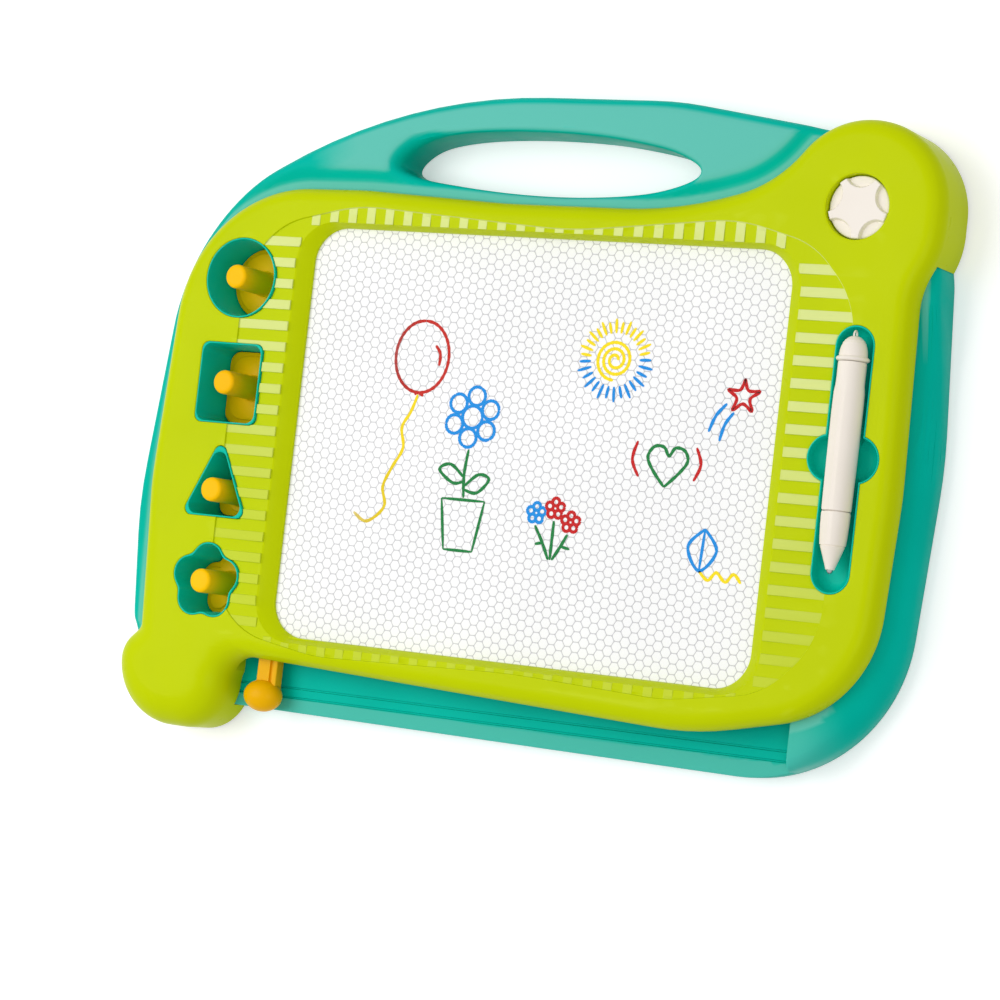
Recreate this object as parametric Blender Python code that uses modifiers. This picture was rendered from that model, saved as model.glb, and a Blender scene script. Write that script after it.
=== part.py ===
"""Magnetic drawing board for children, lying on its back with the screen up.

A teal rear shell carries a lime front frame, a magnetic screen, four stamp wells, a pen tray, a dial
and an eraser bar that slides under the screen. Seen from the front, +X is right and +Y is up the board.
Places are measured from the middle of the screen, and heights from the back face.
"""

import math

import bmesh
import bpy
from mathutils import Matrix, Vector

# Clearances
GAP = 0.0003
OVERRUN = 0.001
SLIDE_PLAY = 0.0005
SMALLEST_RADIUS = 0.0004

# Screen, and the margins from its edges to the box of the front frame
SCREEN_WIDTH = 0.262
SCREEN_HEIGHT = 0.208
SCREEN_CORNER_RADIUS = 0.018
FRAME_LEFT_MARGIN = 0.0865
FRAME_RIGHT_MARGIN = 0.073
FRAME_TOP_MARGIN = 0.063
FRAME_BOTTOM_MARGIN = 0.052

# How far the box of the rear shell passes the box of the frame, or stays inside it
SHELL_LEFT_PASS = 0.006
SHELL_RIGHT_PASS = 0.002
SHELL_TOP_PASS = 0.0075
SHELL_BOTTOM_INSET = 0.0135

# Heights of the rear shell
SHELL_FLOOR = 0.0022
LEDGE_DROP = 0.0124
DECK_HEIGHT = 0.0244
SHELL_EDGE_RADIUS = 0.005
SHELL_FOOT_RADIUS = 0.0012
SHELL_WALL = 0.0025
SHELL_RIB = 0.002

# Front frame
FRAME_RISE = 0.0116
FRAME_PLATE = 0.0045
FRAME_WALL = 0.003
FRAME_SHOULDER_RADIUS = 0.008
FRAME_SKIRT_FOOT = 0.002
DIAL_LOBE_RADIUS = 0.042

# Ribbed band round the screen
BAND_SIDE_WIDTH = 0.036
BAND_END_WIDTH = 0.0083
BAND_CORNER_RADIUS = 0.048
BAND_STEP = 0.0008
BAND_DROP = 0.0021
LIP_SIDE_WIDTH = 0.0072
LIP_END_WIDTH = 0.003
LIP_EDGE = 0.0005
BAR_PITCH = 0.0106
BAR_WIDTH = 0.0042
BAR_END_MARGIN = 0.0008

# Screen panel: front cover, honeycomb core and backing film
COVER_THICKNESS = 0.0005
CORE_THICKNESS = 0.0016
BACKING_THICKNESS = 0.0004
PANEL_SIDE_OVERLAP = 0.006
PANEL_CORNER_RADIUS = 0.003
PANEL_RIM_SIDE = 0.0027
PANEL_RIM_END = 0.0017

# Cavity of the rear shell, under the screen, the wells and the tray
CAVITY_END_OVERLAP = 0.0032
CAVITY_WELL_MARGIN = 0.032
CAVITY_TRAY_MARGIN = 0.0215
CAVITY_CORNER_RADIUS = 0.045

# Track ledge for the eraser's ball
LEDGE_WALL = 0.0054
LEDGE_END_MARGIN = 0.021
GROOVE_WIDTH = 0.0012
GROOVE_DEPTH = 0.0008
GROOVE_OFFSETS = (0.017, 0.0219)

# Carrying handle hole
HANDLE_HOLE_WIDTH = 0.154
HANDLE_HOLE_HEIGHT = 0.03
HANDLE_HOLE_LEFT_REACH = 0.08
HANDLE_HOLE_RISE = 0.0215

# Stamp wells: places up the column, and the sizes of the lime holes
WELL_COLUMN_MARGIN = 0.038
CIRCLE_Y = 0.075
SQUARE_Y = 0.0208
TRIANGLE_Y = -0.0271
FLOWER_Y = -0.0807
CIRCLE_RADIUS = 0.0206
SQUARE_WIDTH = 0.0363
SQUARE_HEIGHT = 0.0415
SQUARE_CORNER_RADIUS = 0.004
TRIANGLE_WIDTH = 0.0387
TRIANGLE_HEIGHT = 0.0412
TRIANGLE_CORNER_RADIUS = 0.0035
PETAL_RADIUS = 0.0095
PETAL_REACH = 0.0107
PETALS = 5
WELL_WALL = 0.0013
WELL_FLOOR = 0.0016
WELL_RIM_DROP = 0.0005

# Stamps: a shaped base with a step, and a peg
STAMP_PLAY = 0.0009
STAMP_BASE_HEIGHT = 0.0075
STAMP_STEP_WIDTH = 0.0022
STAMP_STEP_HEIGHT = 0.001
STAMP_PROUD = 0.005
PEG_RADIUS = 0.0062
PEG_EDGE_RADIUS = 0.0012
STAMP_MAGNET_RADIUS = 0.006
STAMP_MAGNET_THICKNESS = 0.003

# Pen tray: a long slot with a finger bulge on each side
TRAY_MARGIN = 0.0375
TRAY_TOP_Y = 0.07
TRAY_BULGE_Y = 0.0078
TRAY_BULGE_RADIUS = 0.0114
TRAY_BULGE_REACH = 0.00655
TRAY_DEPTH = 0.0078
TRAY_WALL = 0.0012
TRAY_FLOOR = 0.0016

# Magnetic pen, along +Y, point down the board
PEN_POINT_MARGIN = 0.0095
PEN_EYELET_MARGIN = 0.0052
PEN_SIDE_PLAY = 0.0004
PEN_TIP_LENGTH = 0.0015
PEN_NOSE_LENGTH = 0.0275
PEN_BARREL_LENGTH = 0.069
PEN_CAP_LENGTH = 0.012
PEN_BARREL_RADIUS = 0.0069
PEN_COLLAR_RADIUS = 0.0079
PEN_COLLAR_WIDTH = 0.0022
PEN_NOSE_END_RADIUS = 0.0022
PEN_TIP_RADIUS = 0.0015
PEN_WALL = 0.0014
PEN_SPIGOT_LENGTH = 0.006
PEN_EYELET_RADIUS = 0.0016
PEN_EYELET_THICKNESS = 0.0006
PEN_MAGNET_RADIUS = 0.0025
PEN_MAGNET_LENGTH = 0.01
PEN_GRIP_SHARE = 0.4
PEN_COLLAR_SLOPE_SHARE = 0.2
PEN_DOME_SHARES = ((0.206, 0.995), (0.44, 0.951), (0.641, 0.848), (0.812, 0.669), (0.939, 0.407))

# Dial in the upper right lobe, held by a washer and a screw from behind
DIAL_RADIUS = 0.0146
DIAL_PLAY = 0.0005
DIAL_AXLE_RADIUS = 0.0035
DIAL_AXLE_PLAY = 0.0003
DIAL_SCALLOPS = 5
DIAL_SCALLOP_RADIUS = 0.008
DIAL_SCALLOP_REACH = 0.0172
DIAL_SCALLOP_DEPTH = 0.0014
DIAL_EDGE_RADIUS = 0.0008
DIAL_FLOOR = 0.0016
DIAL_BOSS_WALL = 0.0024
DIAL_WASHER_RADIUS = 0.006
DIAL_WASHER_THICKNESS = 0.0011
DIAL_SCREW_HEAD_RADIUS = 0.0028
DIAL_SCREW_HEAD_HEIGHT = 0.0015
DIAL_SCREW_RADIUS = 0.0012
DIAL_SCREW_LENGTH = 0.006

# Eraser: a magnet bar on a carrier under the screen, with a ball on a stem outside
ERASER_WIDTH = 0.014
ERASER_HEIGHT = 0.008
ERASER_SCREEN_GAP = 0.0017
ERASER_END_MARGIN = 0.0052
ERASER_MAGNET_WIDTH = 0.006
ERASER_MAGNET_HEIGHT = 0.0025
ERASER_MAGNET_END_MARGIN = 0.004
ERASER_REST_PAST_SCREEN = 0.0035
STEM_WIDTH = 0.013
STEM_HEIGHT = 0.0065
STEM_GROOVE_WIDTH = 0.002
STEM_GROOVE_DEPTH = 0.0012
STEM_RIB_WIDTH = 0.003
TONGUE_WIDTH = 0.006
TONGUE_HEIGHT = 0.0036
TONGUE_LENGTH = 0.011
BALL_WIDTH = 0.0195
BALL_DEPTH = 0.0153
BALL_REACH = 0.0224
SLIDER_SCREW_RADIUS = 0.001
SLIDER_SCREW_HEAD_RADIUS = 0.0021
SLIDER_SCREW_HEAD_HEIGHT = 0.0012
RAIL_WIDTH = 0.003
RAIL_PLACE_SHARE = 0.75
RAIL_END_MARGIN = 0.022

# Screws that hold the frame on the shell, and their bosses
SHELL_BOSS_RADIUS = 0.0045
FRAME_BOSS_RADIUS = 0.004
BOSS_SPLIT_HEIGHT = 0.014
SCREW_RADIUS = 0.0014
SCREW_HOLE_PLAY = 0.0003
SCREW_HEAD_RADIUS = 0.003
SCREW_HEAD_HEIGHT = 0.002
SCREW_COUNTERBORE = 0.006
SCREW_LENGTH = 0.019
BOSS_SIDE_MARGIN = 0.0075
BOSS_LEFT_MARGIN = 0.019
BOSS_RIGHT_MARGIN = 0.016
BOSS_CAVITY_MARGIN = 0.0052
BOSS_TRAY_TOP_MARGIN = 0.018
BOSS_TRAY_FOOT_MARGIN = 0.019

# Fineness of round shapes
CHORD_ERROR = 0.00018
SHORTEST_EDGE = 0.0004
BAND_ARC_STEPS = 9
LEVEL_NORMAL = 0.999
ROUND_SEGMENTS = 20
SMALL_SEGMENTS = 12
HALF_SHARE = 0.5
SHARP_ANGLE = math.radians(35)

# Outlines as shares of their box, from its lower left corner, with the corner's radius as a share of
# the width. A concave corner is told from the way the outline turns.
CORNER_LOBE_SHARE = 0.148
FRAME_CORNER_SHARES = (
    (0.031, 0.863, 0.1435),
    (0.267, 0.869, 0.356),
    (0.457, 0.854, 0.712),
    (0.682, 0.8576, 0.4745),
    (0.796, 0.907, 0.154),
    (0.8538, 1, None),
    (1, 1, None),
    (1, 0.8173, None),
    (0.9758, 0.7554, 0.095),
    (0.9763, 0.1486, 0.1186),
    (0.694, 0.0913, 0.4745),
    (CORNER_LOBE_SHARE, 0.116, 0.0166),
    (CORNER_LOBE_SHARE, 0, 0.0427),
    (0, 0, 0.078),
    (0, 0.1207, 0.0427),
    (0.0178, 0.1517, 0.0142),
    (0.013, 0.396, 0.4745),
)
SHELL_CORNER_SHARES = (
    (0, 0.3233, 0.582),
    (0.0303, 0.8297, 0.2445),
    (0.306, 1, 0.698),
    (0.66, 1, 0.419),
    (0.893, 0.954, 0.093),
    (0.986, 0.7965, 0.14),
    (1, 0.481, 0.582),
    (0.987, 0, 0.158),
    (0.0547, 0, 0.07),
    (0.0105, 0.118, 0.07),
)
HANDLE_HOLE_CORNER_SHARES = (
    (0, 0.583, 0.039),
    (0.195, 0.917, 0.26),
    (0.747, 1, 0.26),
    (1, 0.717, 0.039),
    (1, 0.383, 0.036),
    (0.779, 0.05, 0.39),
    (0.292, 0, 0.52),
    (0, 0.3, 0.036),
)

# Back pocket ribs, as shares of the shell's box from its lower left corner
UPRIGHT_RIB_SHARES = (0.1, 0.19, 0.28, 0.36, 0.44, 0.52, 0.6, 0.68, 0.77, 0.86, 0.93)
LEVEL_RIB_SHARES = (0.2, 0.42, 0.62, 0.78)

# Worked out from the sizes above
SCREEN_X = SCREEN_WIDTH / 2
SCREEN_Y = SCREEN_HEIGHT / 2
FRAME_LEFT = -SCREEN_X - FRAME_LEFT_MARGIN
FRAME_RIGHT = SCREEN_X + FRAME_RIGHT_MARGIN
FRAME_TOP_Y = SCREEN_Y + FRAME_TOP_MARGIN
FRAME_BOTTOM_Y = -SCREEN_Y - FRAME_BOTTOM_MARGIN
SHELL_LEFT = FRAME_LEFT - SHELL_LEFT_PASS
SHELL_RIGHT = FRAME_RIGHT + SHELL_RIGHT_PASS
SHELL_TOP_Y = FRAME_TOP_Y + SHELL_TOP_PASS
SHELL_BOTTOM_Y = FRAME_BOTTOM_Y + SHELL_BOTTOM_INSET

WELL_X = -SCREEN_X - WELL_COLUMN_MARGIN
TRAY_X = SCREEN_X + TRAY_MARGIN
CAVITY_LEFT = WELL_X - CAVITY_WELL_MARGIN
CAVITY_RIGHT = TRAY_X + CAVITY_TRAY_MARGIN
CAVITY_Y = SCREEN_Y + CAVITY_END_OVERLAP
LEDGE_TOP_Y = -CAVITY_Y - LEDGE_WALL
LEDGE_HEIGHT = DECK_HEIGHT - LEDGE_DROP
LEDGE_END_X = SCREEN_X + LEDGE_END_MARGIN

BACKING_Z = DECK_HEIGHT + GAP
CORE_Z = BACKING_Z + BACKING_THICKNESS + GAP
COVER_Z = CORE_Z + CORE_THICKNESS + GAP
SCREEN_Z = COVER_Z + COVER_THICKNESS
LIP_Z = SCREEN_Z + GAP
FRAME_TOP = DECK_HEIGHT + FRAME_RISE
FRAME_UNDERSIDE = FRAME_TOP - FRAME_PLATE
PANEL_X = SCREEN_X + PANEL_SIDE_OVERLAP
PANEL_Y = SCREEN_Y + PANEL_SIDE_OVERLAP
RIM_X = PANEL_X + PANEL_RIM_SIDE
RIM_Y = PANEL_Y + PANEL_RIM_END
BAND_X = SCREEN_X + BAND_SIDE_WIDTH
BAND_Y = SCREEN_Y + BAND_END_WIDTH
BAND_Z = FRAME_TOP - BAND_STEP
BAND_FOOT_Z = BAND_Z - BAND_DROP
LIP_X = SCREEN_X + LIP_SIDE_WIDTH
LIP_Y = SCREEN_Y + LIP_END_WIDTH

WELL_SEAT_Z = SHELL_FLOOR + GAP
WELL_RIM_Z = FRAME_TOP - WELL_RIM_DROP
WELL_FLOOR_Z = WELL_SEAT_Z + WELL_FLOOR
STAMP_SEAT_Z = WELL_FLOOR_Z + GAP
STAMP_BASE_Z = STAMP_SEAT_Z + STAMP_BASE_HEIGHT
STAMP_TOP_Z = FRAME_TOP + STAMP_PROUD
STAMP_MARGIN = GAP + WELL_WALL + STAMP_PLAY

PEN_LENGTH = PEN_TIP_LENGTH + PEN_NOSE_LENGTH + PEN_BARREL_LENGTH + GAP + PEN_CAP_LENGTH
TRAY_LENGTH = PEN_POINT_MARGIN + PEN_LENGTH + PEN_EYELET_MARGIN
TRAY_HALF_WIDTH = PEN_COLLAR_RADIUS + PEN_SIDE_PLAY + TRAY_WALL + GAP
PEN_POINT_Y = TRAY_TOP_Y - TRAY_LENGTH + PEN_POINT_MARGIN
TRAY_FLOOR_Z = FRAME_TOP - TRAY_DEPTH
PEN_Z = TRAY_FLOOR_Z + GAP + PEN_COLLAR_RADIUS

DIAL_X = FRAME_RIGHT - DIAL_LOBE_RADIUS
DIAL_Y = FRAME_TOP_Y - DIAL_LOBE_RADIUS
DIAL_HOLE_RADIUS = DIAL_RADIUS + DIAL_PLAY
DIAL_SCREW_Z = DECK_HEIGHT + GAP + OVERRUN / 2
DIAL_WASHER_Z = DIAL_SCREW_Z + DIAL_SCREW_HEAD_HEIGHT + GAP
DIAL_FLOOR_Z = DIAL_WASHER_Z + DIAL_WASHER_THICKNESS + GAP
DIAL_SEAT_Z = DIAL_FLOOR_Z + DIAL_FLOOR + GAP

ERASER_TOP_Z = DECK_HEIGHT + GAP - ERASER_SCREEN_GAP
ERASER_Z = ERASER_TOP_Z - ERASER_HEIGHT
ERASER_Y = CAVITY_Y - ERASER_END_MARGIN
ERASER_X = -SCREEN_X - ERASER_REST_PAST_SCREEN
ERASER_MIDDLE_Z = (ERASER_Z + ERASER_TOP_Z) / 2
RAIL_TOP_Z = ERASER_Z - GAP
RAIL_X = -ERASER_X + RAIL_END_MARGIN / 2
WINDOW_X = -ERASER_X + STEM_WIDTH / 2 + SLIDE_PLAY
BALL_Y = LEDGE_TOP_Y - BALL_REACH
BALL_Z = LEDGE_HEIGHT + GAP + BALL_DEPTH / 2

BOSS_Y = CAVITY_Y - BOSS_CAVITY_MARGIN
BOSS_PLACES = (
    (-SCREEN_X - BOSS_LEFT_MARGIN, BOSS_Y),
    (SCREEN_X + BOSS_RIGHT_MARGIN, BOSS_Y),
    (-SCREEN_X - BOSS_LEFT_MARGIN, -BOSS_Y),
    (SCREEN_X + BOSS_LEFT_MARGIN, -BOSS_Y),
    (WELL_X, (CIRCLE_Y - CIRCLE_RADIUS + SQUARE_Y + SQUARE_HEIGHT / 2) / 2),
    (WELL_X, (TRIANGLE_Y - TRIANGLE_HEIGHT / 2 + FLOWER_Y + PETAL_REACH + PETAL_RADIUS) / 2),
    (TRAY_X, TRAY_TOP_Y + BOSS_TRAY_TOP_MARGIN),
    (TRAY_X, TRAY_TOP_Y - TRAY_LENGTH - BOSS_TRAY_FOOT_MARGIN),
)

COLOURS = {
    "teal": ((0.013, 0.46, 0.376, 1), 0.32, 0),
    "lime": ((0.578, 0.686, 0.03, 1), 0.34, 0),
    "yellow": ((0.9, 0.56, 0.006, 1), 0.32, 0),
    "ivory": ((0.88, 0.82, 0.74, 1), 0.4, 0),
    "screen": ((0.93, 0.93, 0.93, 1), 0.2, 0),
    "core": ((0.8, 0.81, 0.82, 1), 0.5, 0),
    "grey": ((0.3, 0.31, 0.32, 1), 0.5, 0),
    "magnet": ((0.05, 0.05, 0.055, 1), 0.45, 0),
    "steel": ((0.6, 0.6, 0.62, 1), 0.3, 1),
}


# Outlines: lists of points, anticlockwise


def rounded_outline(corners, growth=0, arc_steps=None):
    """A polygon's outline with an arc at each (x, y, radius) corner, moved outwards by the growth."""
    pairs = zip(corners, corners[1:] + corners[:1])
    if sum(a[0] * b[1] - b[0] * a[1] for a, b in pairs) < 0:
        corners = corners[::-1]
    count = len(corners)
    places = [Vector(corner[:2]) for corner in corners]
    ways = [(places[(i + 1) % count] - place).normalized() for i, place in enumerate(places)]
    turns = [ways[i].angle_signed(ways[i - 1]) for i in range(count)]
    radii = []
    for i, turn in enumerate(turns):
        before = Vector((ways[i - 1].y, -ways[i - 1].x))
        after = Vector((ways[i].y, -ways[i].x))
        places[i] = places[i] + (before + after) * growth / (1 + before.dot(after))
        radii.append(max(SMALLEST_RADIUS, corners[i][2] + math.copysign(growth, turn)))
    reaches = [radius * math.tan(abs(turn) / 2) for radius, turn in zip(radii, turns)]
    fits = []
    for i, place in enumerate(places):
        after = (i + 1) % count
        fits.append(min(1, (places[after] - place).length / (reaches[i] + reaches[after])))
    points = []
    for i, (place, turn) in enumerate(zip(places, turns)):
        fit = min(fits[i - 1], fits[i])
        normal = Vector((ways[i - 1].y, -ways[i - 1].x))
        bend = math.copysign(radii[i] * fit, turn)
        centre = place - ways[i - 1] * reaches[i] * fit - normal * bend
        steps = arc_steps or steps_of_arc(abs(bend), abs(turn))
        for step in range(steps + 1):
            points.append(centre + (Matrix.Rotation(turn * step / steps, 2) @ normal) * bend)
    return without_repeats(points)


def steps_of_arc(radius, turn):
    """How many straight steps keep within the chord error."""
    return max(1, math.ceil(turn / (2 * math.acos(1 - min(0.5, CHORD_ERROR / radius)))))


def without_repeats(points):
    """The points without those that lie close to the one before, as where two arcs meet."""
    kept = [points[0]]
    for point in points[1:]:
        if (point - kept[-1]).length > SHORTEST_EDGE:
            kept.append(point)
    if (kept[0] - kept[-1]).length <= SHORTEST_EDGE:
        kept.pop()
    return kept


def boxed_corners(shares, left, right, bottom, top, lobe_radius=None):
    """Corners as shares of a box. A corner without a radius takes the lobe's."""
    width = right - left
    corners = []
    for across, up, radius_share in shares:
        radius = lobe_radius if radius_share is None else radius_share * width
        corners.append((left + across * width, bottom + up * (top - bottom), radius))
    return corners


def rectangle(left, right, bottom, top, radius):
    return [(left, bottom, radius), (right, bottom, radius), (right, top, radius), (left, top, radius)]


def centred_outline(half_width, half_height, radius, arc_steps=None):
    corners = rectangle(-half_width, half_width, -half_height, half_height, radius)
    return rounded_outline(corners, arc_steps=arc_steps)


def arc_points(x, y, radius, start, end, steps):
    """Points of an arc, with both ends."""
    angles = [start + (end - start) * step / steps for step in range(steps + 1)]
    return [Vector((x + radius * math.cos(angle), y + radius * math.sin(angle))) for angle in angles]


def circle_outline(x, y, radius, segments=ROUND_SEGMENTS * 2):
    return arc_points(x, y, radius, 0, math.tau, segments)[:-1]


def circle_well(margin):
    return circle_outline(WELL_X, CIRCLE_Y, CIRCLE_RADIUS - margin)


def square_well(margin):
    corners = rectangle(
        WELL_X - SQUARE_WIDTH / 2,
        WELL_X + SQUARE_WIDTH / 2,
        SQUARE_Y - SQUARE_HEIGHT / 2,
        SQUARE_Y + SQUARE_HEIGHT / 2,
        SQUARE_CORNER_RADIUS,
    )
    return rounded_outline(corners, -margin)


def triangle_well(margin):
    foot = TRIANGLE_Y - TRIANGLE_HEIGHT / 2
    corners = [
        (WELL_X - TRIANGLE_WIDTH / 2, foot, TRIANGLE_CORNER_RADIUS),
        (WELL_X + TRIANGLE_WIDTH / 2, foot, TRIANGLE_CORNER_RADIUS),
        (WELL_X, foot + TRIANGLE_HEIGHT, TRIANGLE_CORNER_RADIUS),
    ]
    return rounded_outline(corners, -margin)


def flower_well(margin):
    """Round petals in a ring, one of them up."""
    radius = PETAL_RADIUS - margin
    half_pitch = PETAL_REACH * math.sin(math.pi / PETALS)
    spread = math.pi / 2 + math.pi / PETALS - math.acos(min(1, half_pitch / radius))
    points = []
    for petal in range(PETALS):
        way = math.pi / 2 + math.tau * petal / PETALS
        x = WELL_X + PETAL_REACH * math.cos(way)
        y = FLOWER_Y + PETAL_REACH * math.sin(way)
        points += arc_points(x, y, radius, way - spread, way + spread, PETALS * 2)[:-1]
    return points


def tray_outline(margin):
    """A slot with round ends and a round bulge on each side."""
    half_width = TRAY_HALF_WIDTH - margin
    radius = TRAY_BULGE_RADIUS - margin
    top = TRAY_TOP_Y - TRAY_HALF_WIDTH
    foot = TRAY_TOP_Y - TRAY_LENGTH + TRAY_HALF_WIDTH
    spread = math.acos((half_width - TRAY_BULGE_REACH) / radius)
    steps = SMALL_SEGMENTS
    points = arc_points(TRAY_X, foot, half_width, math.pi, math.tau, steps)
    points += arc_points(TRAY_X + TRAY_BULGE_REACH, TRAY_BULGE_Y, radius, -spread, spread, steps)
    points += arc_points(TRAY_X, top, half_width, 0, math.pi, steps)
    points += arc_points(
        TRAY_X - TRAY_BULGE_REACH, TRAY_BULGE_Y, radius, math.pi - spread, math.pi + spread, steps
    )
    return points


# Meshes


def mesh_of(name, build):
    """A new mesh from what the function puts in a bmesh."""
    work = bmesh.new()
    build(work)
    bmesh.ops.recalc_face_normals(work, faces=work.faces)
    mesh = bpy.data.meshes.new(name)
    work.to_mesh(mesh)
    work.free()
    return mesh


def add_prism(work, loops, bottom, top):
    """Adds a flat outline, with any holes in it, raised from bottom to top."""
    curve = bpy.data.curves.new("outline", "CURVE")
    curve.dimensions = "2D"
    curve.fill_mode = "BOTH"
    curve.extrude = (top - bottom) / 2
    for loop in loops:
        spline = curve.splines.new("POLY")
        spline.points.add(len(loop) - 1)
        for point, place in zip(spline.points, loop):
            point.co = (place.x, place.y, 0, 1)
        spline.use_cyclic_u = True
    helper = bpy.data.objects.new("outline", curve)
    bpy.context.scene.collection.objects.link(helper)
    bpy.context.view_layer.update()
    graph = bpy.context.evaluated_depsgraph_get()
    mesh = bpy.data.meshes.new_from_object(helper.evaluated_get(graph))
    mesh.transform(Matrix.Translation((0, 0, (bottom + top) / 2)))
    first = len(work.verts)
    work.from_mesh(mesh)
    work.verts.ensure_lookup_table()
    bmesh.ops.remove_doubles(work, verts=work.verts[first:], dist=GAP / 100)
    bpy.data.objects.remove(helper)
    bpy.data.curves.remove(curve)
    bpy.data.meshes.remove(mesh)


def add_box(work, left, right, bottom, top, low, high):
    """Adds a box by its sides along X, Y and Z."""
    made = bmesh.ops.create_cube(work, size=1)
    size = Matrix.Diagonal((right - left, top - bottom, high - low, 1))
    middle = Matrix.Translation(((left + right) / 2, (bottom + top) / 2, (low + high) / 2))
    bmesh.ops.transform(work, matrix=middle @ size, verts=made["verts"])


def add_cylinder(work, x, y, radius, low, high, segments=ROUND_SEGMENTS):
    middle = Matrix.Translation((x, y, (low + high) / 2))
    bmesh.ops.create_cone(
        work,
        cap_ends=True,
        segments=segments,
        radius1=radius,
        radius2=radius,
        depth=high - low,
        matrix=middle,
    )


def round_level_edges(work, height, radius, segments):
    """Rounds the edges at one height between a flat face and a wall."""
    work.normal_update()
    inner = [
        edge for edge in work.edges
        if all(abs(face.normal.z) > LEVEL_NORMAL for face in edge.link_faces)
    ]
    bmesh.ops.dissolve_edges(work, edges=inner)
    edges = [
        edge
        for edge in work.edges
        if all(abs(vert.co.z - height) < GAP / 10 for vert in edge.verts)
        and edge.calc_face_angle(0) > math.radians(60)
    ]
    bmesh.ops.bevel(
        work, geom=edges, offset=radius, offset_type="OFFSET", segments=segments, profile=0.5, affect="EDGES"
    )
    bmesh.ops.triangulate(work, faces=[face for face in work.faces if len(face.verts) == 4])


def prism_mesh(name, loops, bottom, top):
    return mesh_of(name, lambda work: add_prism(work, loops, bottom, top))


def stacked_mesh(name, rings):
    """A closed body through rings of (points, height) with equal counts, from the top down."""

    def build(work):
        levels = [[work.verts.new((p.x, p.y, height)) for p in points] for points, height in rings]
        for upper, lower in zip(levels, levels[1:]):
            for i, corner in enumerate(upper):
                after = (i + 1) % len(upper)
                work.faces.new((corner, lower[i], lower[after], upper[after]))
        work.faces.new(levels[0])
        work.faces.new(levels[-1][::-1])

    return mesh_of(name, build)


# Objects


def clear_scene():
    for item in list(bpy.data.objects):
        bpy.data.objects.remove(item)


def new_collection(name):
    collection = bpy.data.collections.new(name)
    bpy.context.scene.collection.children.link(collection)
    return collection


clear_scene()
PARTS = new_collection("drawing_board")
CUTTERS = new_collection("cutters")


def finish_of(name):
    """The material of this name, made once."""
    found = bpy.data.materials.get(name)
    if found:
        return found
    colour, roughness, metallic = COLOURS[name]
    made = bpy.data.materials.new(name)
    made.use_nodes = True
    made.diffuse_color = colour
    shader = made.node_tree.nodes["Principled BSDF"]
    shader.inputs["Base Color"].default_value = colour
    shader.inputs["Roughness"].default_value = roughness
    shader.inputs["Metallic"].default_value = metallic
    return made


def empty(name, place, parent=None):
    made = bpy.data.objects.new(name, None)
    made.empty_display_size = SCREEN_CORNER_RADIUS
    made.location = place
    made.parent = parent
    PARTS.objects.link(made)
    return made


def part(name, mesh, finish, parent):
    """A sub-part in its colour, shaded smooth over its round faces."""
    made = bpy.data.objects.new(name, mesh)
    mesh.materials.append(finish_of(finish))
    mesh.shade_smooth()
    mesh.set_sharp_from_angle(angle=SHARP_ANGLE)
    made.parent = parent
    PARTS.objects.link(made)
    return made


def tool(name, mesh, parent):
    """A cutter, or a shape to be joined to a sub-part. It isn't rendered."""
    made = bpy.data.objects.new(name, mesh)
    made.parent = parent
    made.hide_render = True
    made.display_type = "WIRE"
    CUTTERS.objects.link(made)
    return made


def combine(target, other, operation):
    modifier = target.modifiers.new(other.name, "BOOLEAN")
    modifier.operation = operation
    modifier.solver = "EXACT"
    modifier.object = other


def cut(target, name, mesh):
    other = tool(name, mesh, target.parent)
    combine(target, other, "DIFFERENCE")
    return other


def join(target, name, mesh):
    other = tool(name, mesh, target.parent)
    combine(target, other, "UNION")
    return other


def turned(name, profile, finish, parent, segments=ROUND_SEGMENTS):
    """A turned piece: a profile of (radius, height) from the top down, spun about its own Z."""
    mesh = bpy.data.meshes.new(name)
    mesh.from_pydata([(radius, 0, height) for radius, height in profile], profile_edges(profile), [])
    made = part(name, mesh, finish, parent) if finish else tool(name, mesh, parent)
    spin = made.modifiers.new("spin", "SCREW")
    spin.steps = segments
    spin.render_steps = segments
    spin.use_merge_vertices = True
    spin.merge_threshold = GAP / 10
    spin.use_smooth_shade = True
    return made


def profile_edges(profile):
    """Edges of the profile. One that doesn't start on the axis is closed, so that it makes a ring."""
    edges = [(i, i + 1) for i in range(len(profile) - 1)]
    if profile[0][0] > 0:
        edges.append((len(profile) - 1, 0))
    return edges


def quarter_round(radius, edge, height, steps=3):
    """Profile points of a rounded top edge, from the top face down to the side."""
    points = []
    for step in range(steps + 1):
        angle = math.pi / 2 * (1 - step / steps)
        points.append((radius - edge + edge * math.cos(angle), height - edge + edge * math.sin(angle)))
    return points


# Rear shell

SHELL_BOX = (SHELL_LEFT, SHELL_RIGHT, SHELL_BOTTOM_Y, SHELL_TOP_Y)
SHELL_CORNERS = boxed_corners(SHELL_CORNER_SHARES, *SHELL_BOX)
CAVITY_CORNERS = rectangle(CAVITY_LEFT, CAVITY_RIGHT, -CAVITY_Y, CAVITY_Y, CAVITY_CORNER_RADIUS)
HANDLE_HOLE_BOTTOM_Y = SCREEN_Y + HANDLE_HOLE_RISE
HANDLE_HOLE_CORNERS = boxed_corners(
    HANDLE_HOLE_CORNER_SHARES,
    -HANDLE_HOLE_LEFT_REACH,
    HANDLE_HOLE_WIDTH - HANDLE_HOLE_LEFT_REACH,
    HANDLE_HOLE_BOTTOM_Y,
    HANDLE_HOLE_BOTTOM_Y + HANDLE_HOLE_HEIGHT,
)


def shell_body(work):
    add_prism(work, [rounded_outline(SHELL_CORNERS)], 0, DECK_HEIGHT)
    round_level_edges(work, DECK_HEIGHT, SHELL_EDGE_RADIUS, 2)
    round_level_edges(work, 0, SHELL_FOOT_RADIUS, 1)


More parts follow.
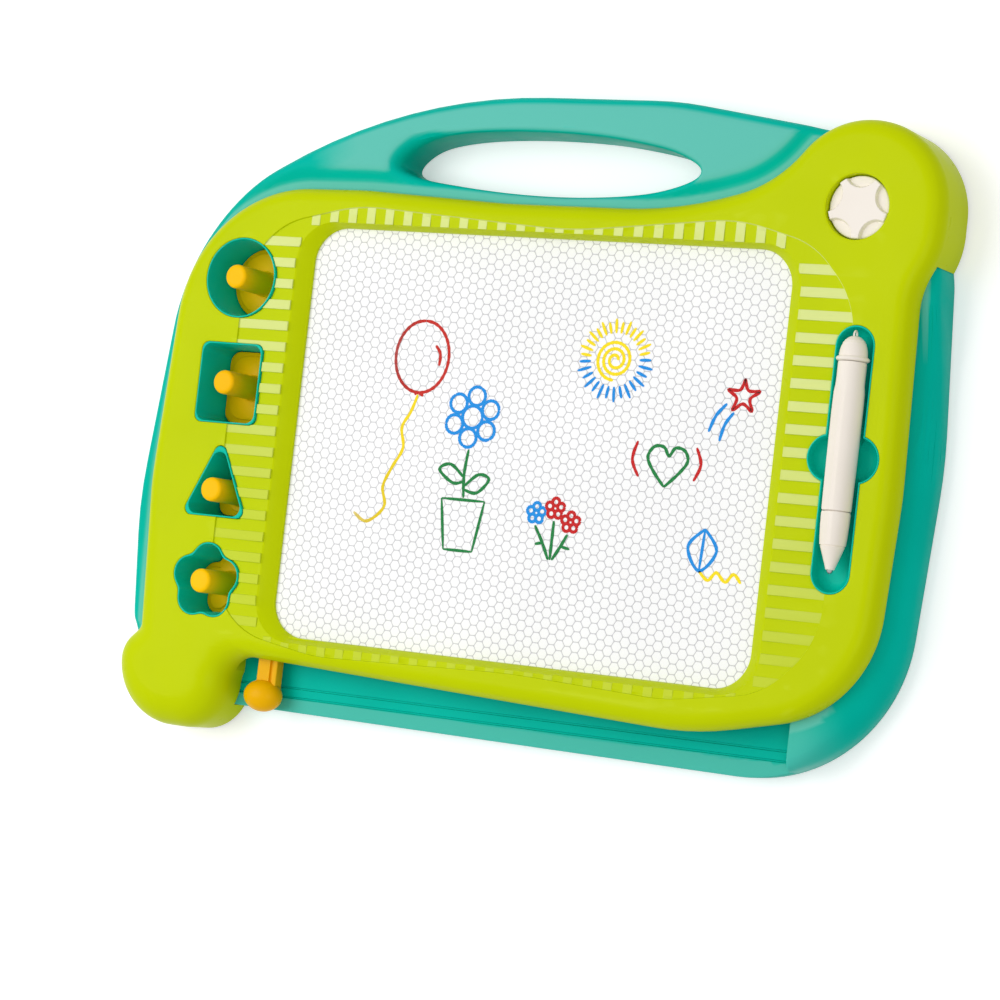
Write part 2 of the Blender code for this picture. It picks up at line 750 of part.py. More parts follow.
def ledge_cut(work):
    """The low ledge along the foot, with two shallow grooves."""
    left = SHELL_LEFT - OVERRUN
    top = DECK_HEIGHT + OVERRUN
    add_box(work, left, LEDGE_END_X, SHELL_BOTTOM_Y - OVERRUN, LEDGE_TOP_Y, LEDGE_HEIGHT, top)


def groove_cut(work):
    for offset in GROOVE_OFFSETS:
        middle = LEDGE_TOP_Y - offset
        add_box(
            work,
            CAVITY_LEFT,
            LEDGE_END_X - FRAME_WALL,
            middle - GROOVE_WIDTH / 2,
            middle + GROOVE_WIDTH / 2,
            LEDGE_HEIGHT - GROOVE_DEPTH,
            LEDGE_HEIGHT + OVERRUN,
        )


def pocket_ribs(work, top):
    """Cross ribs that stay in the hollow rim, across the whole shell."""
    for share in UPRIGHT_RIB_SHARES:
        middle = SHELL_LEFT + share * (SHELL_RIGHT - SHELL_LEFT)
        side = SHELL_RIB / 2
        add_box(
            work, middle - side, middle + side, SHELL_BOTTOM_Y, SHELL_TOP_Y, -OVERRUN * 2, top
        )
    for share in LEVEL_RIB_SHARES:
        middle = SHELL_BOTTOM_Y + share * (SHELL_TOP_Y - SHELL_BOTTOM_Y)
        side = SHELL_RIB / 2
        for left, right in ((SHELL_LEFT, CAVITY_LEFT), (CAVITY_RIGHT, SHELL_RIGHT)):
            add_box(work, left, right, middle - side, middle + side, -OVERRUN * 2, top)


def cut_back_pockets(shell):
    """Hollows the rim and the ledge from behind, with walls round the cavity, the ledge and the hole."""
    inner = rounded_outline(SHELL_CORNERS, -SHELL_WALL - GAP)
    rim_top = DECK_HEIGHT - SHELL_WALL
    rim = cut(shell, "rim_pocket", prism_mesh("rim_pocket", [inner], -OVERRUN, rim_top))
    for name, corners in (("cavity_wall", CAVITY_CORNERS), ("hole_wall", HANDLE_HOLE_CORNERS)):
        outline = rounded_outline(corners, SHELL_WALL)
        cut(rim, name, prism_mesh(name, [outline], -OVERRUN * 2, DECK_HEIGHT))
    ledge_wall = mesh_of(
        "ledge_wall",
        lambda work: add_box(
            work,
            SHELL_LEFT - OVERRUN,
            LEDGE_END_X + SHELL_WALL,
            SHELL_BOTTOM_Y - OVERRUN,
            LEDGE_TOP_Y + SHELL_WALL,
            -OVERRUN * 2,
            DECK_HEIGHT,
        ),
    )
    cut(rim, "ledge_wall", ledge_wall)
    cut(rim, "rim_ribs", mesh_of("rim_ribs", lambda work: pocket_ribs(work, DECK_HEIGHT)))

    ledge_top = LEDGE_HEIGHT - GROOVE_DEPTH - SHELL_WALL
    low = cut(shell, "ledge_pocket", prism_mesh("ledge_pocket", [inner], -OVERRUN, ledge_top))
    kept = mesh_of(
        "ledge_pocket_box",
        lambda work: add_box(
            work,
            SHELL_LEFT,
            LEDGE_END_X - SHELL_WALL / 2,
            SHELL_BOTTOM_Y,
            LEDGE_TOP_Y - SHELL_WALL / 2,
            -OVERRUN * 2,
            DECK_HEIGHT,
        ),
    )
    combine(low, tool("ledge_pocket_box", kept, shell.parent), "INTERSECT")
    cut(low, "ledge_ribs", mesh_of("ledge_ribs", lambda work: pocket_ribs(work, DECK_HEIGHT)))


def make_rear_shell(board):
    shell = part("rear_shell", mesh_of("rear_shell", shell_body), "teal", board)
    top = DECK_HEIGHT + OVERRUN
    cut(shell, "cavity", prism_mesh("cavity", [rounded_outline(CAVITY_CORNERS)], SHELL_FLOOR, top))
    ledge = cut(shell, "ledge", mesh_of("ledge", ledge_cut))
    join(ledge, "grooves", mesh_of("grooves", groove_cut))
    cut_back_pockets(shell)
    hole = rounded_outline(HANDLE_HOLE_CORNERS)
    cut(shell, "handle_hole", prism_mesh("handle_hole", [hole], -OVERRUN, top))
    window = mesh_of(
        "stem_window",
        lambda work: add_box(
            work,
            -WINDOW_X,
            WINDOW_X,
            LEDGE_TOP_Y - OVERRUN,
            -CAVITY_Y + OVERRUN,
            ERASER_MIDDLE_Z - STEM_HEIGHT / 2 - SLIDE_PLAY,
            ERASER_MIDDLE_Z + STEM_HEIGHT / 2 + SLIDE_PLAY,
        ),
    )
    cut(shell, "stem_window", window)
    join(shell, "shell_fittings", mesh_of("shell_fittings", shell_fittings))
    cut(shell, "shell_screw_holes", mesh_of("shell_screw_holes", shell_screw_holes))
    cut(shell, "shell_counterbores", mesh_of("shell_counterbores", shell_counterbores))


def shell_fittings(work):
    """Screw bosses on the floor, and two rails that the eraser runs on."""
    low = SHELL_FLOOR / 2
    for x, y in BOSS_PLACES:
        add_cylinder(work, x, y, SHELL_BOSS_RADIUS, low, BOSS_SPLIT_HEIGHT, SMALL_SEGMENTS * 2)
    for side in (-1, 1):
        y = side * ERASER_Y * RAIL_PLACE_SHARE
        add_box(work, -RAIL_X, RAIL_X, y - RAIL_WIDTH / 2, y + RAIL_WIDTH / 2, low, RAIL_TOP_Z)


def shell_screw_holes(work):
    for x, y in BOSS_PLACES:
        add_cylinder(
            work,
            x,
            y,
            SCREW_RADIUS + SCREW_HOLE_PLAY,
            -OVERRUN,
            BOSS_SPLIT_HEIGHT + OVERRUN,
            SMALL_SEGMENTS,
        )


def shell_counterbores(work):
    for x, y in BOSS_PLACES:
        add_cylinder(
            work, x, y, SCREW_HEAD_RADIUS + SCREW_HOLE_PLAY, -OVERRUN, SCREW_COUNTERBORE, SMALL_SEGMENTS
        )


# Front frame

FRAME_BOX = (FRAME_LEFT, FRAME_RIGHT, FRAME_BOTTOM_Y, FRAME_TOP_Y)
FRAME_CORNERS = boxed_corners(FRAME_CORNER_SHARES, *FRAME_BOX, lobe_radius=DIAL_LOBE_RADIUS)


def frame_body(work):
    add_prism(work, [rounded_outline(FRAME_CORNERS)], FRAME_SKIRT_FOOT, FRAME_TOP)
    round_level_edges(work, FRAME_TOP, FRAME_SHOULDER_RADIUS, 3)


def bars(work):
    """The raised bars of the ribbed band, level with its outer edge."""
    low = LIP_Z
    side = BAR_WIDTH / 2
    end = BAND_X + OVERRUN
    top = BAND_Y + OVERRUN
    across = math.floor((LIP_X - BAR_END_MARGIN - side) / BAR_PITCH)
    for step in range(-across, across + 1):
        x = step * BAR_PITCH
        add_box(work, x - side, x + side, LIP_Y, top, low, BAND_Z)
        add_box(work, x - side, x + side, -top, -LIP_Y, low, BAND_Z)
    up = math.floor((LIP_Y - BAR_END_MARGIN - side) / BAR_PITCH)
    for step in range(-up, up + 1):
        y = step * BAR_PITCH
        add_box(work, LIP_X, end, y - side, y + side, low, BAND_Z)
        add_box(work, -end, -LIP_X, y - side, y + side, low, BAND_Z)


def band_rings():
    """Rings of the dished band: from the step at its outer edge, down to the lip and the window."""
    steps = BAND_ARC_STEPS
    band = centred_outline(BAND_X, BAND_Y, BAND_CORNER_RADIUS, steps)
    lip = centred_outline(LIP_X, LIP_Y, SCREEN_CORNER_RADIUS + LIP_END_WIDTH, steps)
    window = centred_outline(SCREEN_X, SCREEN_Y, SCREEN_CORNER_RADIUS, steps)
    return [
        (band, FRAME_TOP + OVERRUN),
        (band, BAND_Z),
        (lip, BAND_FOOT_Z),
        (window, LIP_Z + LIP_EDGE),
        (window, LIP_Z - OVERRUN),
    ]


def hollow_frame(frame):
    """Takes the shell's shape and the inner space out from under the frame."""
    low = FRAME_SKIRT_FOOT - OVERRUN
    around = rounded_outline(SHELL_CORNERS, GAP)
    cut(frame, "shell_space", prism_mesh("shell_space", [around], low, LEDGE_HEIGHT + GAP))
    seat = cut(frame, "deck_space", prism_mesh("deck_space", [around], LEDGE_HEIGHT, DECK_HEIGHT + GAP))
    lobe_end = FRAME_LEFT + CORNER_LOBE_SHARE * (FRAME_RIGHT - FRAME_LEFT)
    lobe = mesh_of(
        "lobe_over_ledge",
        lambda work: add_box(
            work,
            SHELL_LEFT - OVERRUN,
            lobe_end + FRAME_WALL / 2,
            SHELL_BOTTOM_Y - OVERRUN,
            LEDGE_TOP_Y - GAP,
            low - OVERRUN,
            DECK_HEIGHT + OVERRUN,
        ),
    )
    cut(seat, "lobe_over_ledge", lobe)
    inner = rounded_outline(FRAME_CORNERS, -FRAME_WALL)
    rim = centred_outline(RIM_X, RIM_Y, PANEL_CORNER_RADIUS + PANEL_RIM_END)
    cut(frame, "frame_hollow", prism_mesh("frame_hollow", [inner, rim], low - OVERRUN, FRAME_UNDERSIDE))
    panel = centred_outline(PANEL_X + GAP, PANEL_Y + GAP, PANEL_CORNER_RADIUS + GAP)
    cut(frame, "panel_space", prism_mesh("panel_space", [panel], low - OVERRUN * 2, LIP_Z))


def frame_fittings(work):
    """Screw bosses under the plate, and the dial's socket."""
    top = FRAME_UNDERSIDE + OVERRUN
    for x, y in BOSS_PLACES:
        add_cylinder(work, x, y, FRAME_BOSS_RADIUS, BOSS_SPLIT_HEIGHT + GAP, top, SMALL_SEGMENTS)
    add_cylinder(
        work, DIAL_X, DIAL_Y, DIAL_HOLE_RADIUS + DIAL_BOSS_WALL, DIAL_FLOOR_Z, top, ROUND_SEGMENTS * 2
    )


def frame_holes(work):
    for x, y in BOSS_PLACES:
        add_cylinder(
            work,
            x,
            y,
            SCREW_RADIUS + SCREW_HOLE_PLAY,
            BOSS_SPLIT_HEIGHT,
            FRAME_UNDERSIDE - OVERRUN,
            SMALL_SEGMENTS,
        )
    axle_hole = DIAL_AXLE_RADIUS + DIAL_AXLE_PLAY
    add_cylinder(work, DIAL_X, DIAL_Y, axle_hole, DECK_HEIGHT, FRAME_TOP, SMALL_SEGMENTS)


def make_front_frame(board):
    frame = part("front_frame", mesh_of("front_frame", frame_body), "lime", board)
    hollow_frame(frame)
    band = cut(frame, "band", stacked_mesh("band", band_rings()))
    cut(band, "bars", mesh_of("bars", bars))
    top = FRAME_TOP + OVERRUN
    for name, outline in WELLS.items():
        mesh = prism_mesh(f"{name}_hole", [outline(0)], FRAME_UNDERSIDE - OVERRUN, top)
        cut(frame, f"{name}_hole", mesh)
    cut(frame, "tray_hole", prism_mesh("tray_hole", [tray_outline(0)], FRAME_UNDERSIDE - OVERRUN, top))
    join(frame, "frame_fittings", mesh_of("frame_fittings", frame_fittings))
    socket = circle_outline(DIAL_X, DIAL_Y, DIAL_HOLE_RADIUS)
    cut(frame, "dial_socket", prism_mesh("dial_socket", [socket], DIAL_FLOOR_Z + DIAL_FLOOR, top))
    cut(frame, "frame_holes", mesh_of("frame_holes", frame_holes))


# Screen panel


def make_panel(board):
    sheet = [centred_outline(PANEL_X, PANEL_Y, PANEL_CORNER_RADIUS)]
    stack = (
        ("backing_film", BACKING_Z, BACKING_THICKNESS, "grey"),
        ("honeycomb_core", CORE_Z, CORE_THICKNESS, "core"),
        ("clear_cover", COVER_Z, COVER_THICKNESS, "screen"),
    )
    for name, low, thickness, finish in stack:
        part(name, prism_mesh(name, sheet, low, low + thickness), finish, board)


# Stamps and their wells

WELLS = {
    "circle": circle_well,
    "square": square_well,
    "triangle": triangle_well,
    "flower": flower_well,
}
WELL_MIDDLES = {"circle": CIRCLE_Y, "square": SQUARE_Y, "triangle": TRIANGLE_Y, "flower": FLOWER_Y}
PEG_DROP_SHARES = {"circle": 0, "square": 0, "triangle": 0.17, "flower": 0}


def make_well(name, outline, board):
    body = prism_mesh(f"{name}_well", [outline(GAP)], WELL_SEAT_Z, WELL_RIM_Z)
    well = part(f"{name}_well", body, "teal", board)
    within = outline(GAP + WELL_WALL)
    inside = prism_mesh(f"{name}_well_inside", [within], WELL_FLOOR_Z, WELL_RIM_Z + OVERRUN)
    cut(well, f"{name}_well_inside", inside)


def make_stamp(name, outline, board):
    """A shaped base with a stepped top and a peg, and a magnet in its foot."""
    peg_y = WELL_MIDDLES[name] - PEG_DROP_SHARES[name] * TRIANGLE_HEIGHT
    mover = empty(f"{name}_stamp_lift", (WELL_X, peg_y, STAMP_SEAT_Z), board)
    away = Matrix.Translation((-WELL_X, -peg_y, -STAMP_SEAT_Z))

    def moved(mesh):
        mesh.transform(away)
        return mesh

    step_z = STAMP_BASE_Z - STAMP_STEP_HEIGHT
    stamp_name = f"{name}_stamp"
    body = moved(prism_mesh(stamp_name, [outline(STAMP_MARGIN)], STAMP_SEAT_Z, step_z))
    stamp = part(stamp_name, body, "yellow", mover)
    plateau = prism_mesh(
        f"{name}_plateau",
        [outline(STAMP_MARGIN + STAMP_STEP_WIDTH)],
        step_z - OVERRUN,
        STAMP_BASE_Z,
    )
    join(stamp, f"{name}_plateau", moved(plateau))
    height = STAMP_TOP_Z - STAMP_SEAT_Z
    profile = [(0, height)] + quarter_round(PEG_RADIUS, PEG_EDGE_RADIUS, height)
    profile += [(PEG_RADIUS, STAMP_BASE_HEIGHT / 2), (0, STAMP_BASE_HEIGHT / 2)]
    peg = turned(f"{name}_peg", profile, None, mover)
    combine(stamp, peg, "UNION")
    pocket = mesh_of(
        f"{name}_magnet_pocket",
        lambda work: add_cylinder(
            work, 0, 0, STAMP_MAGNET_RADIUS + GAP, -OVERRUN, STAMP_MAGNET_THICKNESS + GAP
        ),
    )
    cut(stamp, f"{name}_magnet_pocket", pocket)
    magnet = mesh_of(
        f"{name}_stamp_magnet",
        lambda work: add_cylinder(work, 0, 0, STAMP_MAGNET_RADIUS, 0, STAMP_MAGNET_THICKNESS),
    )
    part(f"{name}_stamp_magnet", magnet, "magnet", mover)


# Pen and tray


def make_tray(board):
    tray = part(
        "pen_tray", prism_mesh("pen_tray", [tray_outline(GAP)], WELL_SEAT_Z, WELL_RIM_Z), "teal", board
    )
    inner = [tray_outline(GAP + TRAY_WALL)]
    cut(tray, "tray_inside", prism_mesh("tray_inside", inner, TRAY_FLOOR_Z, WELL_RIM_Z + OVERRUN))
    under = prism_mesh("tray_under", inner, WELL_SEAT_Z - OVERRUN, TRAY_FLOOR_Z - TRAY_FLOOR)
    cut(tray, "tray_under", under)


def make_pen(board):
    """The pen's pieces along +Y: tip, nose, barrel with a magnet inside, and a cap with an eyelet."""
    mover = empty("pen_lift", (TRAY_X, PEN_POINT_Y, PEN_Z), board)
    mover.rotation_euler = (-math.pi / 2, 0, 0)
    nose_low = PEN_TIP_LENGTH
    nose_high = nose_low + PEN_NOSE_LENGTH
    barrel_high = nose_high + PEN_BARREL_LENGTH
    shoulder = PEN_BARREL_RADIUS - PEN_WALL / 4
    bore = PEN_BARREL_RADIUS - PEN_WALL
    spigot = bore - GAP
    grip = nose_low + PEN_NOSE_LENGTH * PEN_GRIP_SHARE
    nose = [
        (PEN_MAGNET_RADIUS + GAP, nose_high + PEN_SPIGOT_LENGTH),
        (spigot, nose_high + PEN_SPIGOT_LENGTH),
        (spigot, nose_high - GAP),
        (shoulder, nose_high - GAP),
        (shoulder, grip + PEN_WALL),
        (shoulder - PEN_WALL / 2, grip),
        (PEN_NOSE_END_RADIUS, nose_low + GAP),
        (PEN_TIP_RADIUS + GAP, nose_low + GAP),
        (PEN_TIP_RADIUS + GAP, grip),
        (PEN_MAGNET_RADIUS + GAP, grip),
    ]
    turned("pen_nose", nose, "ivory", mover)
    barrel = [
        (0, barrel_high),
        (PEN_BARREL_RADIUS, barrel_high),
        (PEN_BARREL_RADIUS, nose_high + PEN_BARREL_LENGTH / 2),
        (PEN_BARREL_RADIUS, nose_high),
        (bore, nose_high),
        (bore, barrel_high - PEN_WALL - PEN_SPIGOT_LENGTH),
        (0, barrel_high - PEN_WALL - PEN_SPIGOT_LENGTH),
    ]
    turned("pen_barrel", barrel, "ivory", mover)
    tip = [
        (0, grip - GAP),
        (PEN_TIP_RADIUS, grip - GAP),
        (PEN_TIP_RADIUS, PEN_TIP_RADIUS / 2),
        (PEN_TIP_RADIUS / 2, 0),
        (0, 0),
    ]
    turned("pen_tip", tip, "steel", mover, SMALL_SEGMENTS)
    magnet = [
        (0, grip + PEN_MAGNET_LENGTH),
        (PEN_MAGNET_RADIUS, grip + PEN_MAGNET_LENGTH),
        (PEN_MAGNET_RADIUS, grip),
        (0, grip),
    ]
    turned("pen_magnet", magnet, "magnet", mover, SMALL_SEGMENTS)
    cap_low = barrel_high + GAP
    cap_high = cap_low + PEN_CAP_LENGTH
    dome = [
        (PEN_BARREL_RADIUS * across, cap_low + PEN_CAP_LENGTH * along)
        for across, along in PEN_DOME_SHARES
    ]
    cap = [(0, cap_high)] + dome
    cap += [
        (PEN_BARREL_RADIUS, cap_low + PEN_COLLAR_WIDTH),
        (PEN_COLLAR_RADIUS, cap_low + PEN_COLLAR_WIDTH * (1 - PEN_COLLAR_SLOPE_SHARE)),
        (PEN_COLLAR_RADIUS, cap_low + PEN_COLLAR_WIDTH * PEN_COLLAR_SLOPE_SHARE),
        (PEN_BARREL_RADIUS, cap_low),
        (0, cap_low),
    ]
    end_cap = turned("pen_end_cap", cap, "ivory", mover)
    eyelet = eyelet_mesh(cap_high + PEN_EYELET_RADIUS / 4)
    join(end_cap, "eyelet", eyelet)


def eyelet_mesh(height):
    """A small upright ring that stands on the cap."""

    def build(work):
        rings = []
        for step in range(SMALL_SEGMENTS):
            turn = Matrix.Rotation(math.tau * step / SMALL_SEGMENTS, 4, "X")
            side = []
            for corner in range(SMALL_SEGMENTS // 2):
                angle = math.tau * corner / (SMALL_SEGMENTS // 2)
                place = Vector((PEN_EYELET_THICKNESS * math.cos(angle), PEN_EYELET_RADIUS, 0))
                place.y += PEN_EYELET_THICKNESS * math.sin(angle)
                side.append(work.verts.new(turn @ place + Vector((0, 0, height))))
            rings.append(side)
        for step, side in enumerate(rings):
            after = rings[(step + 1) % len(rings)]
            for corner, vert in enumerate(side):
                nxt = (corner + 1) % len(side)
                work.faces.new((vert, side[nxt], after[nxt], after[corner]))

    return mesh_of("eyelet", build)


# Dial


def make_dial(board):
    """A disc with a raised five-pointed plateau, its axle, and the washer and screw behind it."""
    mover = empty("dial_turn", (DIAL_X, DIAL_Y, DIAL_SEAT_Z), board)
    height = FRAME_TOP - DIAL_SEAT_Z
    axle_end = DIAL_FLOOR_Z - DIAL_SEAT_Z
    profile = [(0, height)] + quarter_round(DIAL_RADIUS, DIAL_EDGE_RADIUS, height)
    profile += [
        (DIAL_RADIUS, 0),
        (DIAL_AXLE_RADIUS, 0),
        (DIAL_AXLE_RADIUS, axle_end),
        (DIAL_SCREW_RADIUS + GAP, axle_end),
        (DIAL_SCREW_RADIUS + GAP, axle_end + DIAL_SCREW_LENGTH + GAP),
        (0, axle_end + DIAL_SCREW_LENGTH + GAP),
    ]
    knob = turned("dial_knob", profile, "ivory", mover, ROUND_SEGMENTS * 2)

    def scallops(work):
        for step in range(DIAL_SCALLOPS):
            angle = math.tau * step / DIAL_SCALLOPS + math.pi / 2
            x = DIAL_SCALLOP_REACH * math.cos(angle)
            y = DIAL_SCALLOP_REACH * math.sin(angle)
            low = height - DIAL_SCALLOP_DEPTH
            add_cylinder(work, x, y, DIAL_SCALLOP_RADIUS, low, height + OVERRUN)

    cut(knob, "scallops", mesh_of("scallops", scallops))
    washer_low = DIAL_WASHER_Z - DIAL_SEAT_Z
    washer = [
        (DIAL_SCREW_RADIUS + GAP, washer_low + DIAL_WASHER_THICKNESS),
        (DIAL_WASHER_RADIUS, washer_low + DIAL_WASHER_THICKNESS),
        (DIAL_WASHER_RADIUS, washer_low),
        (DIAL_SCREW_RADIUS + GAP, washer_low),
    ]
    turned("dial_washer", washer, "steel", mover)
    head_low = DIAL_SCREW_Z - DIAL_SEAT_Z
    screw = [
        (0, axle_end + DIAL_SCREW_LENGTH),
        (DIAL_SCREW_RADIUS, axle_end + DIAL_SCREW_LENGTH),
        (DIAL_SCREW_RADIUS, head_low + DIAL_SCREW_HEAD_HEIGHT),
        (DIAL_SCREW_HEAD_RADIUS, head_low + DIAL_SCREW_HEAD_HEIGHT),
        (DIAL_SCREW_HEAD_RADIUS, head_low),
        (0, head_low),
    ]
    turned("dial_screw", screw, "steel", mover, SMALL_SEGMENTS)


# Eraser


def make_eraser(board):
    """The bar with its magnet under the screen, and the ball and stem that move it."""
    mover = empty("eraser_slide", (ERASER_X, 0, ERASER_MIDDLE_Z), board)
    half_height = ERASER_HEIGHT / 2
    half_width = ERASER_WIDTH / 2
    bar = part(
        "eraser_bar",
        mesh_of(
            "eraser_bar",
            lambda work: add_box(
                work, -half_width, half_width, -ERASER_Y, ERASER_Y, -half_height, half_height
            ),
        ),
        "grey",
        mover,
    )
    magnet_low = half_height - ERASER_MAGNET_HEIGHT
    magnet_y = ERASER_Y - ERASER_MAGNET_END_MARGIN - TONGUE_LENGTH
    magnet_x = ERASER_MAGNET_WIDTH / 2
    groove = mesh_of(
        "magnet_groove",
        lambda work: add_box(
            work,
            -magnet_x - GAP,
            magnet_x + GAP,
            -magnet_y - GAP,
            magnet_y + GAP,
            magnet_low - GAP,
            half_height + OVERRUN,
        ),
    )
    cut(bar, "magnet_groove", groove)
    magnet = mesh_of(
        "eraser_magnet",
        lambda work: add_box(work, -magnet_x, magnet_x, -magnet_y, magnet_y, magnet_low, half_height),
    )
    part("eraser_magnet", magnet, "magnet", mover)
    tongue_x = TONGUE_WIDTH / 2
    tongue_z = TONGUE_HEIGHT / 2
    tongue_y = -ERASER_Y + TONGUE_LENGTH
    socket = mesh_of(
        "tongue_socket",
        lambda work: add_box(
            work,
            -tongue_x - GAP,
            tongue_x + GAP,
            -ERASER_Y - OVERRUN,
            tongue_y + GAP,
            -tongue_z - GAP,
            tongue_z + GAP,
        ),
    )
    cut(bar, "tongue_socket", socket)
    make_slider(mover, bar, tongue_x, tongue_y, tongue_z)


def make_slider(mover, bar, tongue_x, tongue_y, tongue_z):
    stem_x = STEM_WIDTH / 2
    stem_z = STEM_HEIGHT / 2
    stem_high = -ERASER_Y - GAP
    ball_z = BALL_Z - ERASER_MIDDLE_Z

    def stem(work):
        add_box(work, -stem_x, stem_x, BALL_Y, stem_high, -stem_z, stem_z)

    slider = part("slider_knob", mesh_of("slider_knob", stem), "yellow", mover)
    tongue = mesh_of(
        "tongue",
        lambda work: add_box(
            work, -tongue_x, tongue_x, stem_high - OVERRUN, tongue_y, -tongue_z, tongue_z
        ),
    )
    join(slider, "tongue", tongue)
    groove_x = stem_x - STEM_RIB_WIDTH - STEM_GROOVE_WIDTH
    groove = mesh_of(
        "stem_groove",
        lambda work: add_box(
            work,
            groove_x,
            groove_x + STEM_GROOVE_WIDTH,
            BALL_Y - OVERRUN,
            stem_high + OVERRUN,
            stem_z - STEM_GROOVE_DEPTH,
            stem_z + OVERRUN,
        ),
    )
    cut(slider, "stem_groove", groove)

    def ball(work):
        made = bmesh.ops.create_uvsphere(
            work, u_segments=ROUND_SEGMENTS, v_segments=SMALL_SEGMENTS, radius=HALF_SHARE
        )
        size = Matrix.Diagonal((BALL_WIDTH, BALL_DEPTH, BALL_DEPTH, 1))
        bmesh.ops.transform(
            work, matrix=Matrix.Translation((0, BALL_Y, ball_z)) @ size, verts=made["verts"]
        )

    join(slider, "ball", mesh_of("ball", ball))
    screw_y = tongue_y - TONGUE_LENGTH / 2
    half_height = ERASER_HEIGHT / 2
    hole = mesh_of(
        "slider_screw_hole",
        lambda work: add_cylinder(
            work,
            0,
            screw_y,
            SLIDER_SCREW_RADIUS + GAP,
            -half_height - OVERRUN,
            tongue_z + OVERRUN,
            SMALL_SEGMENTS,
        ),
    )
    cut(slider, "slider_screw_hole", hole)
    cut(bar, "bar_screw_hole", hole.copy())
    sink = mesh_of(
        "slider_screw_sink",
        lambda work: add_cylinder(
            work,
            0,
            screw_y,
            SLIDER_SCREW_HEAD_RADIUS + GAP,
            -half_height - OVERRUN,
            -half_height + SLIDER_SCREW_HEAD_HEIGHT + GAP,
            SMALL_SEGMENTS,
        ),
    )
    cut(bar, "slider_screw_sink", sink)
    profile = [
        (0, tongue_z),
        (SLIDER_SCREW_RADIUS, tongue_z),
        (SLIDER_SCREW_RADIUS, -half_height + SLIDER_SCREW_HEAD_HEIGHT),
        (SLIDER_SCREW_HEAD_RADIUS, -half_height + SLIDER_SCREW_HEAD_HEIGHT),
        (SLIDER_SCREW_HEAD_RADIUS, -half_height),
        (0, -half_height),
    ]
    screw = turned("slider_screw", profile, "steel", mover, SMALL_SEGMENTS)
    screw.location.y = screw_y


# Screws


def make_shell_screws(board):
    head_high = SCREW_COUNTERBORE - GAP
    profile = [
        (0, head_high + SCREW_LENGTH),
        (SCREW_RADIUS, head_high + SCREW_LENGTH),
        (SCREW_RADIUS, head_high),
        (SCREW_HEAD_RADIUS, head_high),
        (SCREW_HEAD_RADIUS, head_high - SCREW_HEAD_HEIGHT),
        (0, head_high - SCREW_HEAD_HEIGHT),
    ]
    for number, (x, y) in enumerate(BOSS_PLACES, 1):
        screw = turned(f"shell_screw_{number}", profile, "steel", board, SMALL_SEGMENTS)
        screw.location = (x, y, 0)


def middle_of_board():
    """The middle of the outer box, seen from the front."""
    points = rounded_outline(FRAME_CORNERS) + rounded_outline(SHELL_CORNERS)
    across = [point.x for point in points]
    up = [point.y for point in points]
    return (min(across) + max(across)) / 2, (min(up) + max(up)) / 2


def main():
    x, y = middle_of_board()
    board = empty("board", (-x, -y, 0))
    make_rear_shell(board)
    make_front_frame(board)
    make_panel(board)
    for name, outline in WELLS.items():
        make_well(name, outline, board)
        make_stamp(name, outline, board)
    make_tray(board)
    make_pen(board)
    make_dial(board)
    make_eraser(board)
    make_shell_screws(board)
    bpy.context.view_layer.update()


main()
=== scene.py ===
"""Looks, light and camera of the magnetic drawing board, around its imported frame."""
import math

import bmesh
import bpy
import numpy as np
from mathutils import Matrix, Vector
from mathutils.geometry import delaunay_2d_cdt


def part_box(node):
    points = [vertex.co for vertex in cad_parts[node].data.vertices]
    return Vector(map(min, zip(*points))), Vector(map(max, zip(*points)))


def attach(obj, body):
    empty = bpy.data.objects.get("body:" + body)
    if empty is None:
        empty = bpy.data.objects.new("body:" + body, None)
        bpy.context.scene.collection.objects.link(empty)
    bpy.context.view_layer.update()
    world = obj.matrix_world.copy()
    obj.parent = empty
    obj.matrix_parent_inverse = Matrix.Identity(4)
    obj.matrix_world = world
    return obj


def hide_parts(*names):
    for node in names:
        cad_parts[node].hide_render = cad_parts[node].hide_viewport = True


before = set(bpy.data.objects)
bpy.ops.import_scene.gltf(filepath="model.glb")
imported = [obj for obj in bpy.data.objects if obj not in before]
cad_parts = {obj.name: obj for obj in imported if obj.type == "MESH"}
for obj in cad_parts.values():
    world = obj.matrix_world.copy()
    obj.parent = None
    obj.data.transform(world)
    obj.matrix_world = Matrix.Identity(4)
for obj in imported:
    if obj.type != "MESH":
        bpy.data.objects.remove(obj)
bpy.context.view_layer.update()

COVER_LOW, COVER_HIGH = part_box("clear_cover")
SHIFT = Vector(((COVER_LOW.x + COVER_HIGH.x) / 2, (COVER_LOW.y + COVER_HIGH.y) / 2, 0))

# Clearances and the screen, in metres, as in the part. Places are from the middle of the screen.
GAP = 0.0003
SMALLEST_RADIUS = 0.0004
SCREEN_X = 0.131
SCREEN_Y = 0.104
SCREEN_CORNER = 0.018
PANEL_X = 0.137
PANEL_Y = 0.11
PANEL_CORNER = 0.003
RIM_X = 0.1397
RIM_Y = 0.1117
RIM_CORNER = 0.0047
CORE_LOW = 0.0254
CORE_TOP = 0.027

# Boxes of the frame and the shell: left, right, bottom, top
FRAME_BOX = (-0.2175, 0.204, -0.156, 0.167)
SHELL_BOX = (-0.2235, 0.206, -0.1425, 0.1745)

